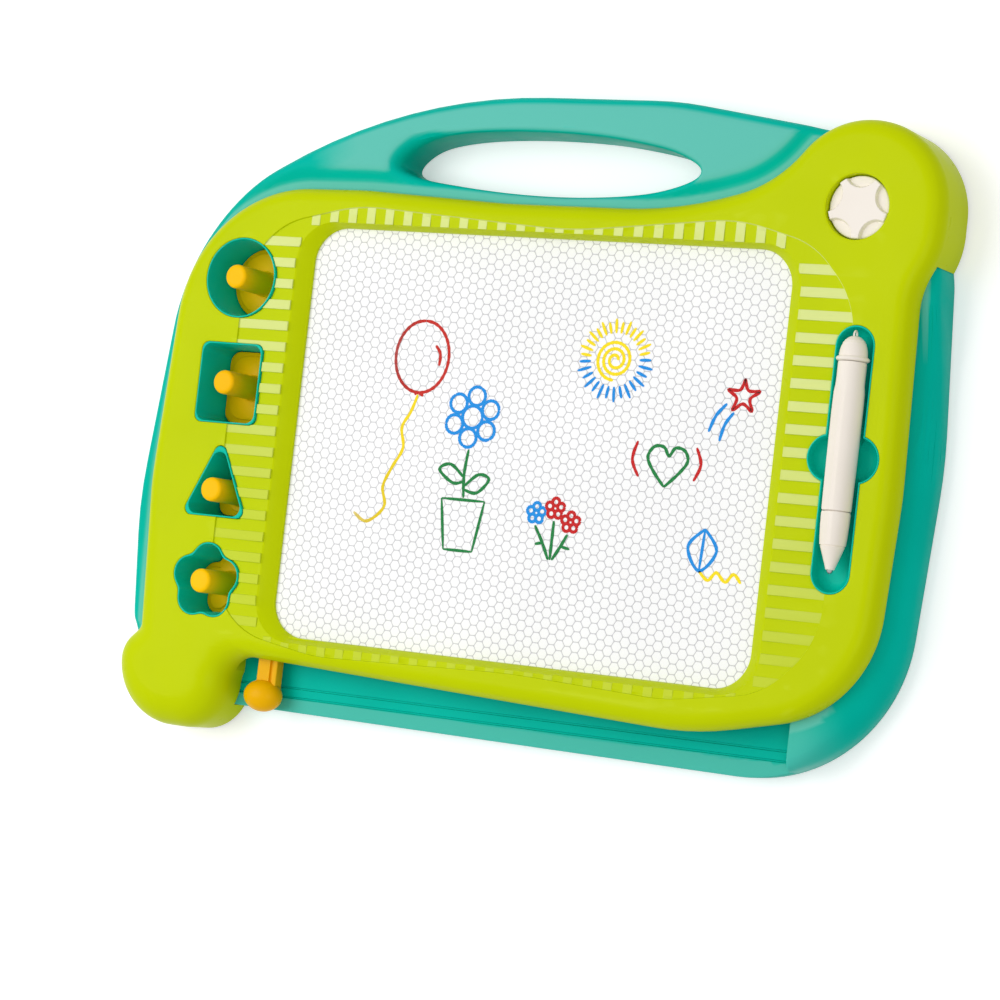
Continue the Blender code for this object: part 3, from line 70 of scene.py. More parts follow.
# Heights
DECK_Z = 0.0244
LEDGE_Z = 0.012
FLOOR_Z = 0.0022
FRAME_Z = 0.036
FRAME_UNDER_Z = 0.0315
FRAME_SEAT_Z = 0.0247
FRAME_FOOT_Z = 0.002
FRAME_WALL = 0.003
LEDGE_SEAT_Z = 0.0123
BAND_Z = 0.0352
BAND_DISH = 0.0011
BAND_SLOPE = 0.12
LIP_EDGE_Z = 0.0286
LIP_UNDER_Z = 0.0281
LIP_X = 0.1382
LIP_Y = 0.107
LIP_TOP_Y = 0.1059
LIP_CORNER = 0.021

BAR_PITCH = 0.0106
SIDE_BAR_PITCH = 0.01074
BAR_SHIFT = -0.0015
SIDE_BAR_SHIFT = -0.0018
BAR_WIDTH = 0.0046
BAR_RAMP = 0.00012
BAND_RAMP = 0.0003
STEP = 0.0001

LEDGE_TOP_Y = -0.1126
LEDGE_END_X = 0.152
GROOVE_PLACES = (-0.1296, -0.1345)
GROOVE_DEPTH = 0.0008
CAVITY_BOX = (-0.201, 0.19, -0.1072, 0.1072)
CAVITY_CORNER = 0.045
SHELL_WALL = 0.0025
SHELL_RIB = 0.002
UPRIGHT_RIB_SHARES = (0.1, 0.19, 0.28, 0.36, 0.44, 0.52, 0.6, 0.68, 0.77, 0.86, 0.93)
LEVEL_RIB_SHARES = (0.2, 0.42, 0.62, 0.78)
WINDOW_BOX = ((-0.1415, 0.1415), (-0.1136, -0.1062), (0.01525, 0.02275))

WELL_X = -0.169
CIRCLE_Y = 0.075
CIRCLE_RADIUS = 0.0206
SQUARE_Y = 0.0208
SQUARE_WIDTH = 0.0363
SQUARE_HEIGHT = 0.0415
SQUARE_CORNER = 0.004
TRIANGLE_Y = -0.0271
TRIANGLE_WIDTH = 0.0387
TRIANGLE_HEIGHT = 0.0412
TRIANGLE_CORNER = 0.0035
FLOWER_Y = -0.0807
PETAL_RADIUS = 0.0095
PETAL_REACH = 0.0107
PETALS = 5
WELL_WALL = 0.0013
WELL_RIM_Z = 0.0358
CUP_PLAY = 0.00012
CUP_LIP = 0.0009
WELL_SEAT_Z = 0.0025
WELL_FLOOR_Z = 0.0041
STAMP_MARGIN = 0.0021
STAMP_SEAT_Z = 0.0044
STAMP_BASE_Z = 0.0119
STAMP_STEP_WIDTH = 0.0022
STAMP_STEP_HEIGHT = 0.001
STAMP_TOP_Z = 0.041
PEG_RADIUS = 0.0062
TRIANGLE_PEG_Y = -0.0341

TRAY_X = 0.1685
TRAY_TOP_Y = 0.07
TRAY_LENGTH = 0.125
TRAY_HALF_WIDTH = 0.0098
TRAY_BULGE_Y = 0.0078
TRAY_BULGE_RADIUS = 0.0114
TRAY_BULGE_REACH = 0.00655
TRAY_WALL = 0.0012
TRAY_FLOOR_Z = 0.0282
TRAY_UNDER_Z = 0.0266
TRAY_BOWL = 0.005

PEN_POINT_Y = -0.0455
PEN_Z = 0.0364

DIAL_X = 0.162
DIAL_Y = 0.125
DIAL_RADIUS = 0.0149
DIAL_DROP = 0.0008
DIAL_HOLE_RADIUS = 0.0156
DIAL_SEAT_Z = 0.0303
DIAL_SOCKET_Z = 0.03
DIAL_SOCKET_UNDER_Z = 0.0284
DIAL_BOSS_RADIUS = 0.0175

BALL_X = -0.1345
BALL_Y = -0.135
BALL_Z = 0.01995

BOSS_PLACES = (
    (-0.15, 0.102), (0.147, 0.102), (-0.15, -0.102), (0.15, -0.102),
    (WELL_X, 0.04795), (WELL_X, -0.0541), (TRAY_X, 0.088), (TRAY_X, -0.074),
)
# Bosses, with the bores in them and in the frame over them, and the eraser's rails
FRAME_BORE_RADIUS = 0.004
FRAME_BORE_Z = 0.0143
BOSS_RADIUS = 0.0045
BOSS_TOP_Z = 0.014
BOSS_BORE_RADIUS = 0.0033
BOSS_BORE_Z = 0.006
RAIL_X = 0.1455
RAIL_Y = 0.0765
RAIL_HALF_WIDTH = 0.0015
RAIL_TOP_Z = 0.0147

# Outlines as shares of their box, from its lower left corner, with a radius as a share of its width
DIAL_LOBE_RADIUS = 0.042
LOBE_SHARE = 0.148
FRAME_SHARES = (
    (0.031, 0.861, 0.17), (0.267, 0.866, 0.356), (0.457, 0.855, 0.712),
    (0.682, 0.856, 0.4745), (0.797, 0.9035, 0.154), (0.8538, 1, None),
    (1, 1, None), (1, 0.8173, None), (0.9758, 0.7554, 0.095),
    (0.9805, 0.46, 0.5), (0.9685, 0.15, 0.138), (0.765, 0.0912, 0.35),
    (LOBE_SHARE, 0.1245, 0.034), (LOBE_SHARE, 0, 0.062), (-0.007, 0, 0.078),
    (-0.007, 0.1207, 0.0427), (0.0178, 0.1517, 0.0142), (0.013, 0.396, 0.4745),
)
SHELL_SHARES = (
    (0, 0.3233, 0.582), (0.028, 0.782, 0.2445), (0.3104, 1, 0.698),
    (0.66, 1, 0.419), (0.893, 0.954, 0.093), (0.986, 0.7965, 0.14),
    (1, 0.481, 0.582), (0.977, -0.0075, 0.18), (0.0547, 0.0042, 0.07),
    (0.0105, 0.118, 0.07),
)
# The handle's hole, through these places
HOLE_PLACES = (
    (-0.0905, 0.1395), (-0.0865, 0.1345), (-0.0675, 0.1301), (-0.0285, 0.1263),
    (0.0095, 0.1256), (0.0455, 0.1283), (0.0675, 0.1336), (0.0768, 0.1395),
    (0.0705, 0.1452), (0.0545, 0.1505), (0.02, 0.1553), (-0.02, 0.1565),
    (-0.055, 0.1545), (-0.0785, 0.1493),
)

# The ribbed band's outer line: corners with their radius
BAND_CORNERS = (
    (-0.167, 0.082, 0.045), (-0.147, 0.1045, 0.04), (-0.104, 0.1148, 0.09),
    (0.015, 0.1074, 0.2), (0.1035, 0.1168, 0.08), (0.143, 0.1065, 0.04),
    (0.167, 0.08, 0.045), (0.167, -0.078, 0.045), (0.141, -0.1045, 0.04),
    (0.092, -0.1123, 0.09), (0.01, -0.1088, 0.3), (-0.1, -0.1123, 0.09),
    (-0.146, -0.1045, 0.04), (-0.167, -0.078, 0.045),
)


# Outlines

ARC_TURN = math.radians(3)
SHORTEST_EDGE = 0.00025


def rounded(corners, growth=0, arc_steps=None):
    """A polygon's outline with an arc at each corner, anticlockwise, moved outwards by the growth."""
    corners = list(corners)
    pairs = zip(corners, corners[1:] + corners[:1])
    if sum(a[0] * b[1] - b[0] * a[1] for a, b in pairs) < 0:
        corners = corners[::-1]
    count = len(corners)
    places = [Vector(corner[:2]) for corner in corners]
    ways = [(places[(i + 1) % count] - place).normalized() for i, place in enumerate(places)]
    turns = [ways[i].angle_signed(ways[i - 1]) for i in range(count)]
    radii = []
    for i, turn in enumerate(turns):
        before = Vector((ways[i - 1].y, -ways[i - 1].x))
        after = Vector((ways[i].y, -ways[i].x))
        places[i] = places[i] + (before + after) * growth / (1 + before.dot(after))
        radii.append(max(SMALLEST_RADIUS, corners[i][2] + math.copysign(growth, turn)))
    reaches = [radius * math.tan(abs(turn) / 2) for radius, turn in zip(radii, turns)]
    fits = []
    for i, place in enumerate(places):
        after = (i + 1) % count
        fits.append(min(1, (places[after] - place).length / (reaches[i] + reaches[after])))
    points = []
    for i, (place, turn) in enumerate(zip(places, turns)):
        fit = min(fits[i - 1], fits[i])
        normal = Vector((ways[i - 1].y, -ways[i - 1].x))
        bend = math.copysign(radii[i] * fit, turn)
        centre = place - ways[i - 1] * reaches[i] * fit - normal * bend
        steps = arc_steps or max(2, math.ceil(abs(turn) / ARC_TURN))
        for step in range(steps + 1):
            points.append(centre + (Matrix.Rotation(turn * step / steps, 2) @ normal) * bend)
    return points if arc_steps else without_repeats(points)


def without_repeats(points):
    kept = [points[0]]
    for point in points[1:]:
        if (point - kept[-1]).length > SHORTEST_EDGE:
            kept.append(point)
    if (kept[0] - kept[-1]).length <= SHORTEST_EDGE:
        kept.pop()
    return kept


def boxed_corners(shares, box):
    left, right, bottom, top = box
    corners = []
    for across, up, share in shares:
        radius = DIAL_LOBE_RADIUS if share is None else share * (right - left)
        corners.append((left + across * (right - left), bottom + up * (top - bottom), radius))
    return corners


def rectangle(left, right, bottom, top, radius):
    return [(left, bottom, radius), (right, bottom, radius), (right, top, radius), (left, top, radius)]


def centred(half_width, half_height, radius, growth=0, arc_steps=None):
    corners = rectangle(-half_width, half_width, -half_height, half_height, radius)
    return rounded(corners, growth, arc_steps)


def lip(growth=0, arc_steps=None):
    return rounded(rectangle(-LIP_X, LIP_X, -LIP_Y, LIP_TOP_Y, LIP_CORNER), growth, arc_steps)


def plain_box(left, right, bottom, top):
    return [Vector(place) for place in ((left, bottom), (right, bottom), (right, top), (left, top))]


def arc_points(x, y, radius, start, end, steps):
    angles = [start + (end - start) * step / steps for step in range(steps + 1)]
    return [Vector((x + radius * math.cos(angle), y + radius * math.sin(angle))) for angle in angles]


def ring(x, y, radius, steps=72):
    return arc_points(x, y, radius, 0, math.tau, steps)[:-1]


def circle_well(margin):
    return ring(WELL_X, CIRCLE_Y, CIRCLE_RADIUS - margin, 96)


def square_well(margin):
    half = SQUARE_WIDTH / 2
    reach = SQUARE_HEIGHT / 2
    corners = rectangle(WELL_X - half, WELL_X + half, SQUARE_Y - reach, SQUARE_Y + reach, SQUARE_CORNER)
    return rounded(corners, -margin, 8)


def triangle_well(margin):
    foot = TRIANGLE_Y - TRIANGLE_HEIGHT / 2
    corners = [
        (WELL_X - TRIANGLE_WIDTH / 2, foot, TRIANGLE_CORNER),
        (WELL_X + TRIANGLE_WIDTH / 2, foot, TRIANGLE_CORNER),
        (WELL_X, foot + TRIANGLE_HEIGHT, TRIANGLE_CORNER),
    ]
    return rounded(corners, -margin, 10)


def evened(points, reach):
    """A closed path of points, each moved to the mean of its neighbours within the reach."""
    places = np.array([tuple(place) for place in points])
    offsets = np.arange(-3 * reach, 3 * reach + 1)
    weights = np.exp(-0.5 * (offsets / reach) ** 2)
    weights /= weights.sum()
    soft = sum(weight * np.roll(places, offset, axis=0) for weight, offset in zip(weights, offsets))
    return [Vector(place) for place in soft]


def flower_well(margin):
    radius = PETAL_RADIUS - margin
    half_pitch = PETAL_REACH * math.sin(math.pi / PETALS)
    spread = math.pi / 2 + math.pi / PETALS - math.acos(min(1, half_pitch / radius))
    points = []
    for petal in range(PETALS):
        way = math.pi / 2 + math.tau * petal / PETALS
        x = WELL_X + PETAL_REACH * math.cos(way)
        y = FLOWER_Y + PETAL_REACH * math.sin(way)
        points += arc_points(x, y, radius, way - spread, way + spread, 22)[:-1]
    return evened(points, 2)


def tray_outline(margin):
    half_width = TRAY_HALF_WIDTH - margin
    radius = TRAY_BULGE_RADIUS - margin
    top = TRAY_TOP_Y - TRAY_HALF_WIDTH
    foot = TRAY_TOP_Y - TRAY_LENGTH + TRAY_HALF_WIDTH
    spread = math.acos((half_width - TRAY_BULGE_REACH) / radius)
    points = arc_points(TRAY_X, foot, half_width, math.pi, math.tau, 24)
    points += arc_points(TRAY_X + TRAY_BULGE_REACH, TRAY_BULGE_Y, radius, -spread, spread, 24)
    points += arc_points(TRAY_X, top, half_width, 0, math.pi, 24)
    points += arc_points(
        TRAY_X - TRAY_BULGE_REACH, TRAY_BULGE_Y, radius, math.pi - spread, math.pi + spread, 24
    )
    return points


def curved(points, steps):
    """A smooth path through the points."""
    path = []
    count = len(points)
    for i in range(count - 1):
        before = Vector(points[max(i - 1, 0)])
        start = Vector(points[i])
        end = Vector(points[i + 1])
        after = Vector(points[min(i + 2, count - 1)])
        for step in range(steps):
            t = step / steps
            rise = 3 * start - before - 3 * end + after
            bend = 2 * before - 5 * start + 4 * end - after
            path.append(0.5 * (2 * start + (end - before) * t + bend * t * t + rise * t ** 3))
    path.append(Vector(points[-1]))
    return path


def closed_path(points, steps):
    """A smooth closed path through the points."""
    count = len(points)
    path = curved([points[i % count] for i in range(-1, count + 2)], steps)
    return path[steps : steps * (count + 1)]


def smoothed(outline, pitch, reach):
    """The outline with even steps, and its kinks evened out over a reach of steps."""
    points = np.array([tuple(place) for place in outline])
    closed = np.vstack((points, points[:1]))
    along = np.concatenate(([0], np.cumsum(np.hypot(*np.diff(closed, axis=0).T))))
    count = int(along[-1] / pitch)
    marks = np.arange(count) * along[-1] / count
    even = np.column_stack([np.interp(marks, along, closed[:, axis]) for axis in (0, 1)])
    return evened(even, reach)


def offset_outline(outline, growth):
    """A smooth outline moved outwards by the growth."""
    points = np.array([tuple(place) for place in outline])
    way = np.roll(points, -1, axis=0) - np.roll(points, 1, axis=0)
    way /= np.hypot(way[:, 0], way[:, 1])[:, None]
    moved = points + np.column_stack((way[:, 1], -way[:, 0])) * growth
    return [Vector(place) for place in moved]


WELLS = {"circle": circle_well, "square": square_well, "triangle": triangle_well, "flower": flower_well}
PEG_PLACES = {
    "circle": (WELL_X, CIRCLE_Y),
    "square": (WELL_X, SQUARE_Y),
    "triangle": (WELL_X, TRIANGLE_PEG_Y),
    "flower": (WELL_X, FLOWER_Y),
}

FRAME_CORNERS = boxed_corners(FRAME_SHARES, FRAME_BOX)
SHELL_CORNERS = boxed_corners(SHELL_SHARES, SHELL_BOX)
CAVITY_CORNERS = rectangle(*CAVITY_BOX, CAVITY_CORNER)
FRAME_OUTLINE = rounded(FRAME_CORNERS)
SHELL_OUTLINE = rounded(SHELL_CORNERS)
HOLE_OUTLINE = smoothed(closed_path(HOLE_PLACES, 12), 0.001, 2)
BAND_OUTLINE = rounded(BAND_CORNERS)
LIP_OUTLINE = lip()
WINDOW_OUTLINE = centred(SCREEN_X, SCREEN_Y, SCREEN_CORNER)


# Height fields


def distance_in(points, outline):
    """How far inside a closed outline each point is, negative outside."""
    starts = np.array([tuple(place) for place in outline])
    ends = np.roll(starts, -1, axis=0)
    nearest = np.full(len(points), np.inf)
    inside = np.zeros(len(points), bool)
    for start, end in zip(starts, ends):
        way = end - start
        offset = points - start
        share = np.clip(offset @ way / max(way @ way, 1e-18), 0, 1)
        nearest = np.minimum(nearest, ((offset - share[:, None] * way) ** 2).sum(1))
        if start[1] != end[1]:
            crosses = (start[1] > points[:, 1]) != (end[1] > points[:, 1])
            where = start[0] + (points[:, 1] - start[1]) * way[0] / way[1]
            inside ^= crosses & (points[:, 0] < where)
    return np.where(inside, 1, -1) * np.sqrt(nearest)


def box_distance_in(points, left, right, bottom, top):
    x, y = points[:, 0], points[:, 1]
    return np.minimum(np.minimum(x - left, right - x), np.minimum(y - bottom, top - y))


def within(points, outline):
    """Whether each point is inside the outline, past the step of its wall."""
    return distance_in(points, outline) > STEP / 2


def reach_from(points, x, y):
    return np.hypot(points[:, 0] - x, points[:, 1] - y)


def set_inside(points, z, places):
    """The heights, changed inside each of the places: an outline and its height."""
    for outline, height in places:
        z = np.where(within(points, outline), height, z)
    return z


def smooth(value, start, end):
    """From 0 at the start to 1 at the end, with level ends."""
    share = np.clip((value - start) / (end - start), 0, 1)
    return share * share * (3 - 2 * share)


def ramp(value, start, end):
    return np.clip((value - start) / (end - start), 0, 1)


def rounding(distance, radius):
    """How far a rounded edge falls below its face, at a distance inside the edge."""
    past = np.clip(1 - distance / radius, 0, 1)
    return radius * (1 - np.sqrt(1 - past * past))


def quiet_points(box, pitch, loops, margin):
    """A grid of points that keeps clear of the loops."""
    left, right, bottom, top = box
    across = np.arange(left + pitch / 2, right, pitch)
    up = np.arange(bottom + pitch / 2, top, pitch)
    grid = np.array([(x + (row % 2) * pitch / 2, y) for row, y in enumerate(up) for x in across])
    clear = np.ones(len(grid), bool)
    for loop in loops:
        starts = np.array([tuple(place) for place in loop])
        low = starts.min(0) - margin
        high = starts.max(0) + margin
        near = np.where(((grid > low) & (grid < high)).all(1) & clear)[0]
        if len(near):
            clear[near[np.abs(distance_in(grid[near], loop)) < margin]] = False
    return grid[clear]


def slab(name, loops, extra, inside, top, bottom):
    """A closed body between two height fields, with edges along the loops."""
    places = []
    edges = []
    for loop in loops:
        first = len(places)
        places += [Vector(place[:2]) for place in loop]
        edges += [(first + i, first + (i + 1) % len(loop)) for i in range(len(loop))]
    places += [Vector(place) for place in extra]
    found = delaunay_2d_cdt(places, edges, [], 0, 1e-6)
    points = np.array([tuple(place) for place in found[0]])
    faces = np.array(found[2])
    faces = faces[inside(points[faces].mean(1))]
    a, b, c = points[faces[:, 0]], points[faces[:, 1]], points[faces[:, 2]]
    area = (b[:, 0] - a[:, 0]) * (c[:, 1] - a[:, 1]) - (b[:, 1] - a[:, 1]) * (c[:, 0] - a[:, 0])
    faces[area < 0] = faces[area < 0][:, ::-1]
    used, faces = np.unique(faces, return_inverse=True)
    faces = faces.reshape(-1, 3)
    points = points[used]
    high = top(points)
    low = bottom(points, high)
    count = len(points)
    verts = np.vstack((np.column_stack((points, high)), np.column_stack((points, low))))
    sides = {}
    for face in faces.tolist():
        for i in range(3):
            sides[(face[i], face[(i + 1) % 3])] = True
    polygons = faces.tolist() + (faces[:, ::-1] + count).tolist()
    for start, end in sides:
        if (end, start) not in sides:
            polygons.append([start + count, end + count, end, start])
    return new_mesh(name, verts, polygons)


def new_mesh(name, verts, polygons):
    mesh = bpy.data.meshes.new(name)
    mesh.from_pydata([tuple(vert) for vert in verts], [], polygons)
    mesh.transform(Matrix.Translation(SHIFT))
    mesh.validate()
    mesh.update()
    return mesh


def mesh_points(mesh):
    """A mesh's places from the middle of the screen, and its heights."""
    points = np.array([vert.co[:] for vert in mesh.vertices])
    return points[:, :2] - np.array(SHIFT[:2]), points[:, 2]


def set_sheen_mask(mesh, name, value):
    sheen_mask = mesh.attributes.new(name, "FLOAT", "POINT")
    sheen_mask.data.foreach_set("value", value.astype(np.float32))


def link(name, data):
    made = bpy.data.objects.new(name, data)
    bpy.context.scene.collection.objects.link(made)
    return made


SHARP = math.radians(33)


def piece(name, mesh, material, body, slot, *nodes):
    """A new piece in its finish, on its body, in place of CAD nodes."""
    mesh.shade_smooth()
    mesh.set_sharp_from_angle(angle=SHARP)
    mesh.materials.clear()
    mesh.materials.append(material)
    made = link(name, mesh)
    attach(made, body)
    if nodes:
        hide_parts(*nodes)


# Finishes


def linear(code):
    """A hexadecimal colour in linear light."""
    parts = [int(code[i : i + 2], 16) / 255 for i in (0, 2, 4)]
    return tuple(((p + 0.055) / 1.055) ** 2.4 if p > 0.04045 else p / 12.92 for p in parts) + (1,)


class Nodes:
    """Short calls for the nodes of a material or a world."""

    def __init__(self, owner):
        owner.use_nodes = True
        self.owner = owner
        self.nodes = owner.node_tree.nodes

    def put(self, socket, value):
        """Another node's output, a colour by its code, or a plain value."""
        if isinstance(value, bpy.types.NodeSocket):
            self.owner.node_tree.links.new(value, socket)
        else:
            socket.default_value = linear(value) if isinstance(value, str) else value

    def put_all(self, node, inputs):
        for key, value in inputs.items():
            self.put(node.inputs[key], value)

    def add(self, kind, inputs=None, **settings):
        node = self.nodes.new(kind)
        for key, value in settings.items():
            setattr(node, key, value)
        self.put_all(node, inputs or {})
        return node

    def place(self):
        return self.add("ShaderNodeTexCoord").outputs["Object"]

    def noise(self, scale, detail=3, stretch=None):
        place = self.place()
        if stretch:
            place = self.add("ShaderNodeMapping", {"Scale": stretch, "Vector": place}).outputs["Vector"]
        inputs = {"Scale": scale, "Detail": detail, "Vector": place}
        return self.add("ShaderNodeTexNoise", inputs).outputs["Fac"]

    def span(self, value, start, end, low=0, high=1):
        inputs = {"Value": value, "From Min": start, "From Max": end, "To Min": low, "To Max": high}
        return self.add("ShaderNodeMapRange", inputs).outputs["Result"]

    def math(self, operation, first, second):
        return self.add("ShaderNodeMath", {0: first, 1: second}, operation=operation).outputs[0]

    def part(self, vector, axis):
        return self.add("ShaderNodeSeparateXYZ", {"Vector": vector}).outputs[axis]

    def mix(self, factor, first, second):
        return self.add("ShaderNodeMix", {0: factor, 6: first, 7: second}, data_type="RGBA").outputs[2]

    def bump(self, height, strength, distance, before=None):
        inputs = {"Height": height, "Strength": strength, "Distance": distance}
        if before:
            inputs["Normal"] = before
        return self.add("ShaderNodeBump", inputs).outputs["Normal"]


def finish(name, inputs):
    """A material, from a function that gives the inputs of its shader."""
    nodes = Nodes(bpy.data.materials.new(name))
    nodes.put_all(nodes.nodes["Principled BSDF"], inputs(nodes))
    return nodes.owner


def plastic(name, colour, shade, roughness=0.3, sheen_mask=None, pale=None, wear=None, specular=0.07):
    """Moulded plastic: a faint cloud in the colour, a fine grain, lighter rubbed edges, and a paler colour
    where a sheen mask is set, which is painted sheen.
    """

    def inputs(nodes):
        tone = nodes.mix(nodes.span(nodes.noise(16), 0.35, 0.65), colour, shade)
        # Painted sheen: the paler colour is mixed in where the mask is set.
        if sheen_mask:
            tone = nodes.mix(nodes.add("ShaderNodeAttribute", attribute_name=sheen_mask).outputs["Fac"], tone, pale)
        if wear:
            shape = nodes.add("ShaderNodeNewGeometry").outputs
            upward = nodes.span(nodes.part(shape["Normal"], "Z"), 0.3, 0.7)
            rubbed = nodes.math("MULTIPLY", nodes.span(shape["Pointiness"], 0.54, 0.64, 0, 0.3), upward)
            tone = nodes.mix(rubbed, tone, wear)
        flow = nodes.bump(nodes.noise(30, 2), 0.12, 0.0006)
        return {
            "Base Color": tone,
            "Roughness": nodes.span(nodes.noise(55, 4), 0.3, 0.7, roughness - 0.05, roughness + 0.07),
            "Normal": nodes.bump(nodes.noise(1400, 2), 0.12, 0.00006, flow),
            "Specular IOR Level": specular,
        }

    return finish(name, inputs)


def steel(nodes):
    streaks = nodes.noise(300, 3, (1, 8, 1))
    return {
        "Base Color": nodes.mix(nodes.span(streaks, 0.3, 0.7), "B8B8BC", "8C8C90"),
        "Roughness": nodes.span(streaks, 0.3, 0.7, 0.24, 0.42),
        "Normal": nodes.bump(streaks, 0.1, 0.00003),
        "Metallic": 1,
    }


def ceramic(name, colour, shade):
    def inputs(nodes):
        specks = nodes.noise(2500)
        return {
            "Base Color": nodes.mix(nodes.span(specks, 0.4, 0.6), colour, shade),
            "Normal": nodes.bump(specks, 0.2, 0.00005),
            "Roughness": 0.55,
        }

    return finish(name, inputs)


def clear_film(nodes):
    return {
        "Base Color": "FFFFFF",
        "Roughness": nodes.span(nodes.noise(18, 4), 0.35, 0.7, 0.12, 0.22),
        "Normal": nodes.bump(nodes.noise(12, 2), 0.05, 0.0005),
        "Alpha": 0.012,
    }


def powder(name, colour, shade, fade=None):
    """Coloured powder behind the film, fine grained, and thinner to the left where it is wiped."""

    def inputs(nodes):
        values = {
            "Base Color": nodes.mix(nodes.span(nodes.noise(1800), 0.35, 0.6), colour, shade),
            "Roughness": 0.8,
            "Specular IOR Level": 0.1,
        }
        if fade:
            values["Alpha"] = nodes.span(nodes.part(nodes.place(), "X"), *fade, 0.12, 1)
        return values

    return finish(name, inputs)


# The lime and teal mouldings turn to their paler colour where their masks are set: painted sheen on flats and
# bar tops.
LIME = plastic("lime_moulding", "C3D300", "BFCF00", 0.3, "lime_sheen_and_highlight", "DCE690", "CCDC30", 0.04)
TEAL = plastic("teal_moulding", "00BBA8", "00B4A1", 0.34, "teal_painted_sheen", "62C3B4", "20C4B4", 0.02)
# A lighter copy of the shell's teal for the cups and the pen tray: painted light against the shade in the
# deep wells.
LIGHTENED_WELL_TEAL = plastic("teal_cup_lightened", "00C4AC", "00BCA4", 0.36, wear="10CCC4")
YELLOW = plastic("yellow_moulding", "FFC800", "FABC00", 0.3, wear="FFD830")
SLIDER_YELLOW = plastic("slider_yellow", "F0B400", "E8AA00", 0.28, wear="FFC830")
IVORY = plastic("ivory_moulding", "F6EEE4", "F1E8DC", 0.35, wear="FAF6F0")
CELL_WHITE = plastic("cell_white", "FEFEFE", "FAFAFA", 0.5)
CELL_WALL = plastic("cell_wall", "D0D0D2", "CACACC", 0.5)
GREY = plastic("grey_moulding", "8E9296", "84888C", 0.4)
FERRITE = ceramic("ferrite_block", "3A3A3E", "2C2C30")
STEEL = finish("screw_steel", steel)
BACK_FILM = ceramic("grey_back_film", "9A9CA0", "8C8E92")
FILM = finish("clear_film", clear_film)


# Front frame

SHOULDER_RADIUS = 0.0085
LOBE_SHOULDER = 0.0085
LOBE_MIDDLE = (-0.186, -0.137)
LOBE_NEAR = 0.014
LOBE_FAR = 0.07
SHOULDER_RINGS = (0.0002, 0.0007, 0.0014, 0.0024, 0.0037, 0.0052, 0.0069, 0.0086, 0.0108, 0.0135)
HOLE_EDGE = 0.0005
LIP_CURVE = 1.15
ROOF = 0.0022
THIN_ROOF = 0.0004
# Where the bars end, past the band's outer line, and how far they start under the lip
BARS_TOP_Y = 0.119
BARS_LOW_Y = -0.1145
BARS_SIDE_X = 0.169
BAR_OVERLAP = 0.002
# How pale the painted highlight on the band's edge and the painted sheen on the lower bars are, and where
# that fades
BAND_EDGE_HIGHLIGHT = 0.8
BAND_HIGHLIGHT_X = (-0.13, -0.115)
BAND_HIGHLIGHT_Y = (0.03, 0.055)
LOW_BAR_SHEEN = 0.14
BAR_SHEEN_TILT = 0.25
BAR_SHEEN_Y = (-0.1, 0.05)


def hole_loops(outline):
    """Loops round a hole's rounded edge, from the hole outwards."""
    return [outline(-growth) for growth in (0, 0.0001, 0.00025, HOLE_EDGE)]


def dial_socket(margin):
    return ring(DIAL_X, DIAL_Y, DIAL_HOLE_RADIUS - margin)


LOBE_RIGHT = FRAME_BOX[0] + LOBE_SHARE * (FRAME_BOX[1] - FRAME_BOX[0]) + FRAME_WALL / 2
LOBE_BOX = (-0.24, LOBE_RIGHT, -0.16, LEDGE_TOP_Y - GAP)


def over_shell(growth):
    return rounded(SHELL_CORNERS, GAP - growth)


def over_ledge(growth):
    left, right, bottom, top = LOBE_BOX
    return plain_box(left + growth, right - growth, bottom + growth, top - growth)


def frame_hollows(growth):
    """The outlines under the frame, drawn in by the growth, each with the height inside it."""
    out = STEP - growth
    hollows = [
        (rounded(FRAME_CORNERS, -FRAME_WALL - growth), FRAME_UNDER_Z),
        (centred(RIM_X, RIM_Y, RIM_CORNER, -growth), FRAME_SEAT_Z),
        (centred(PANEL_X, PANEL_Y, PANEL_CORNER, GAP - growth), LIP_UNDER_Z),
    ]
    hollows += [(ring(x, y, FRAME_BORE_RADIUS + out, 20), FRAME_BORE_Z) for x, y in BOSS_PLACES]
    hollows.append((ring(DIAL_X, DIAL_Y, DIAL_BOSS_RADIUS + out), DIAL_SOCKET_UNDER_Z))
    return hollows


def bar_boxes():
    """The bars of the ribbed band, as boxes that pass its outer line."""
    side = BAR_WIDTH / 2
    boxes = []
    for step in range(-12, 13):
        x = step * BAR_PITCH + BAR_SHIFT
        boxes.append((x - side, x + side, LIP_TOP_Y - BAR_OVERLAP, BARS_TOP_Y))
        boxes.append((x - side, x + side, BARS_LOW_Y, -LIP_Y + BAR_OVERLAP))
    for step in range(-9, 10):
        y = step * SIDE_BAR_PITCH + SIDE_BAR_SHIFT
        boxes.append((LIP_X - BAR_OVERLAP, BARS_SIDE_X, y - side, y + side))
        boxes.append((-BARS_SIDE_X, -LIP_X + BAR_OVERLAP, y - side, y + side))
    return boxes


BARS = bar_boxes()


def bar_share(points):
    """1 on a bar, 0 off it, with a steep side between."""
    share = np.zeros(len(points))
    for box in BARS:
        share = np.maximum(share, ramp(box_distance_in(points, *box), -BAR_RAMP, 0))
    return share * ramp(-distance_in(points, LIP_OUTLINE), 0, BAR_RAMP)


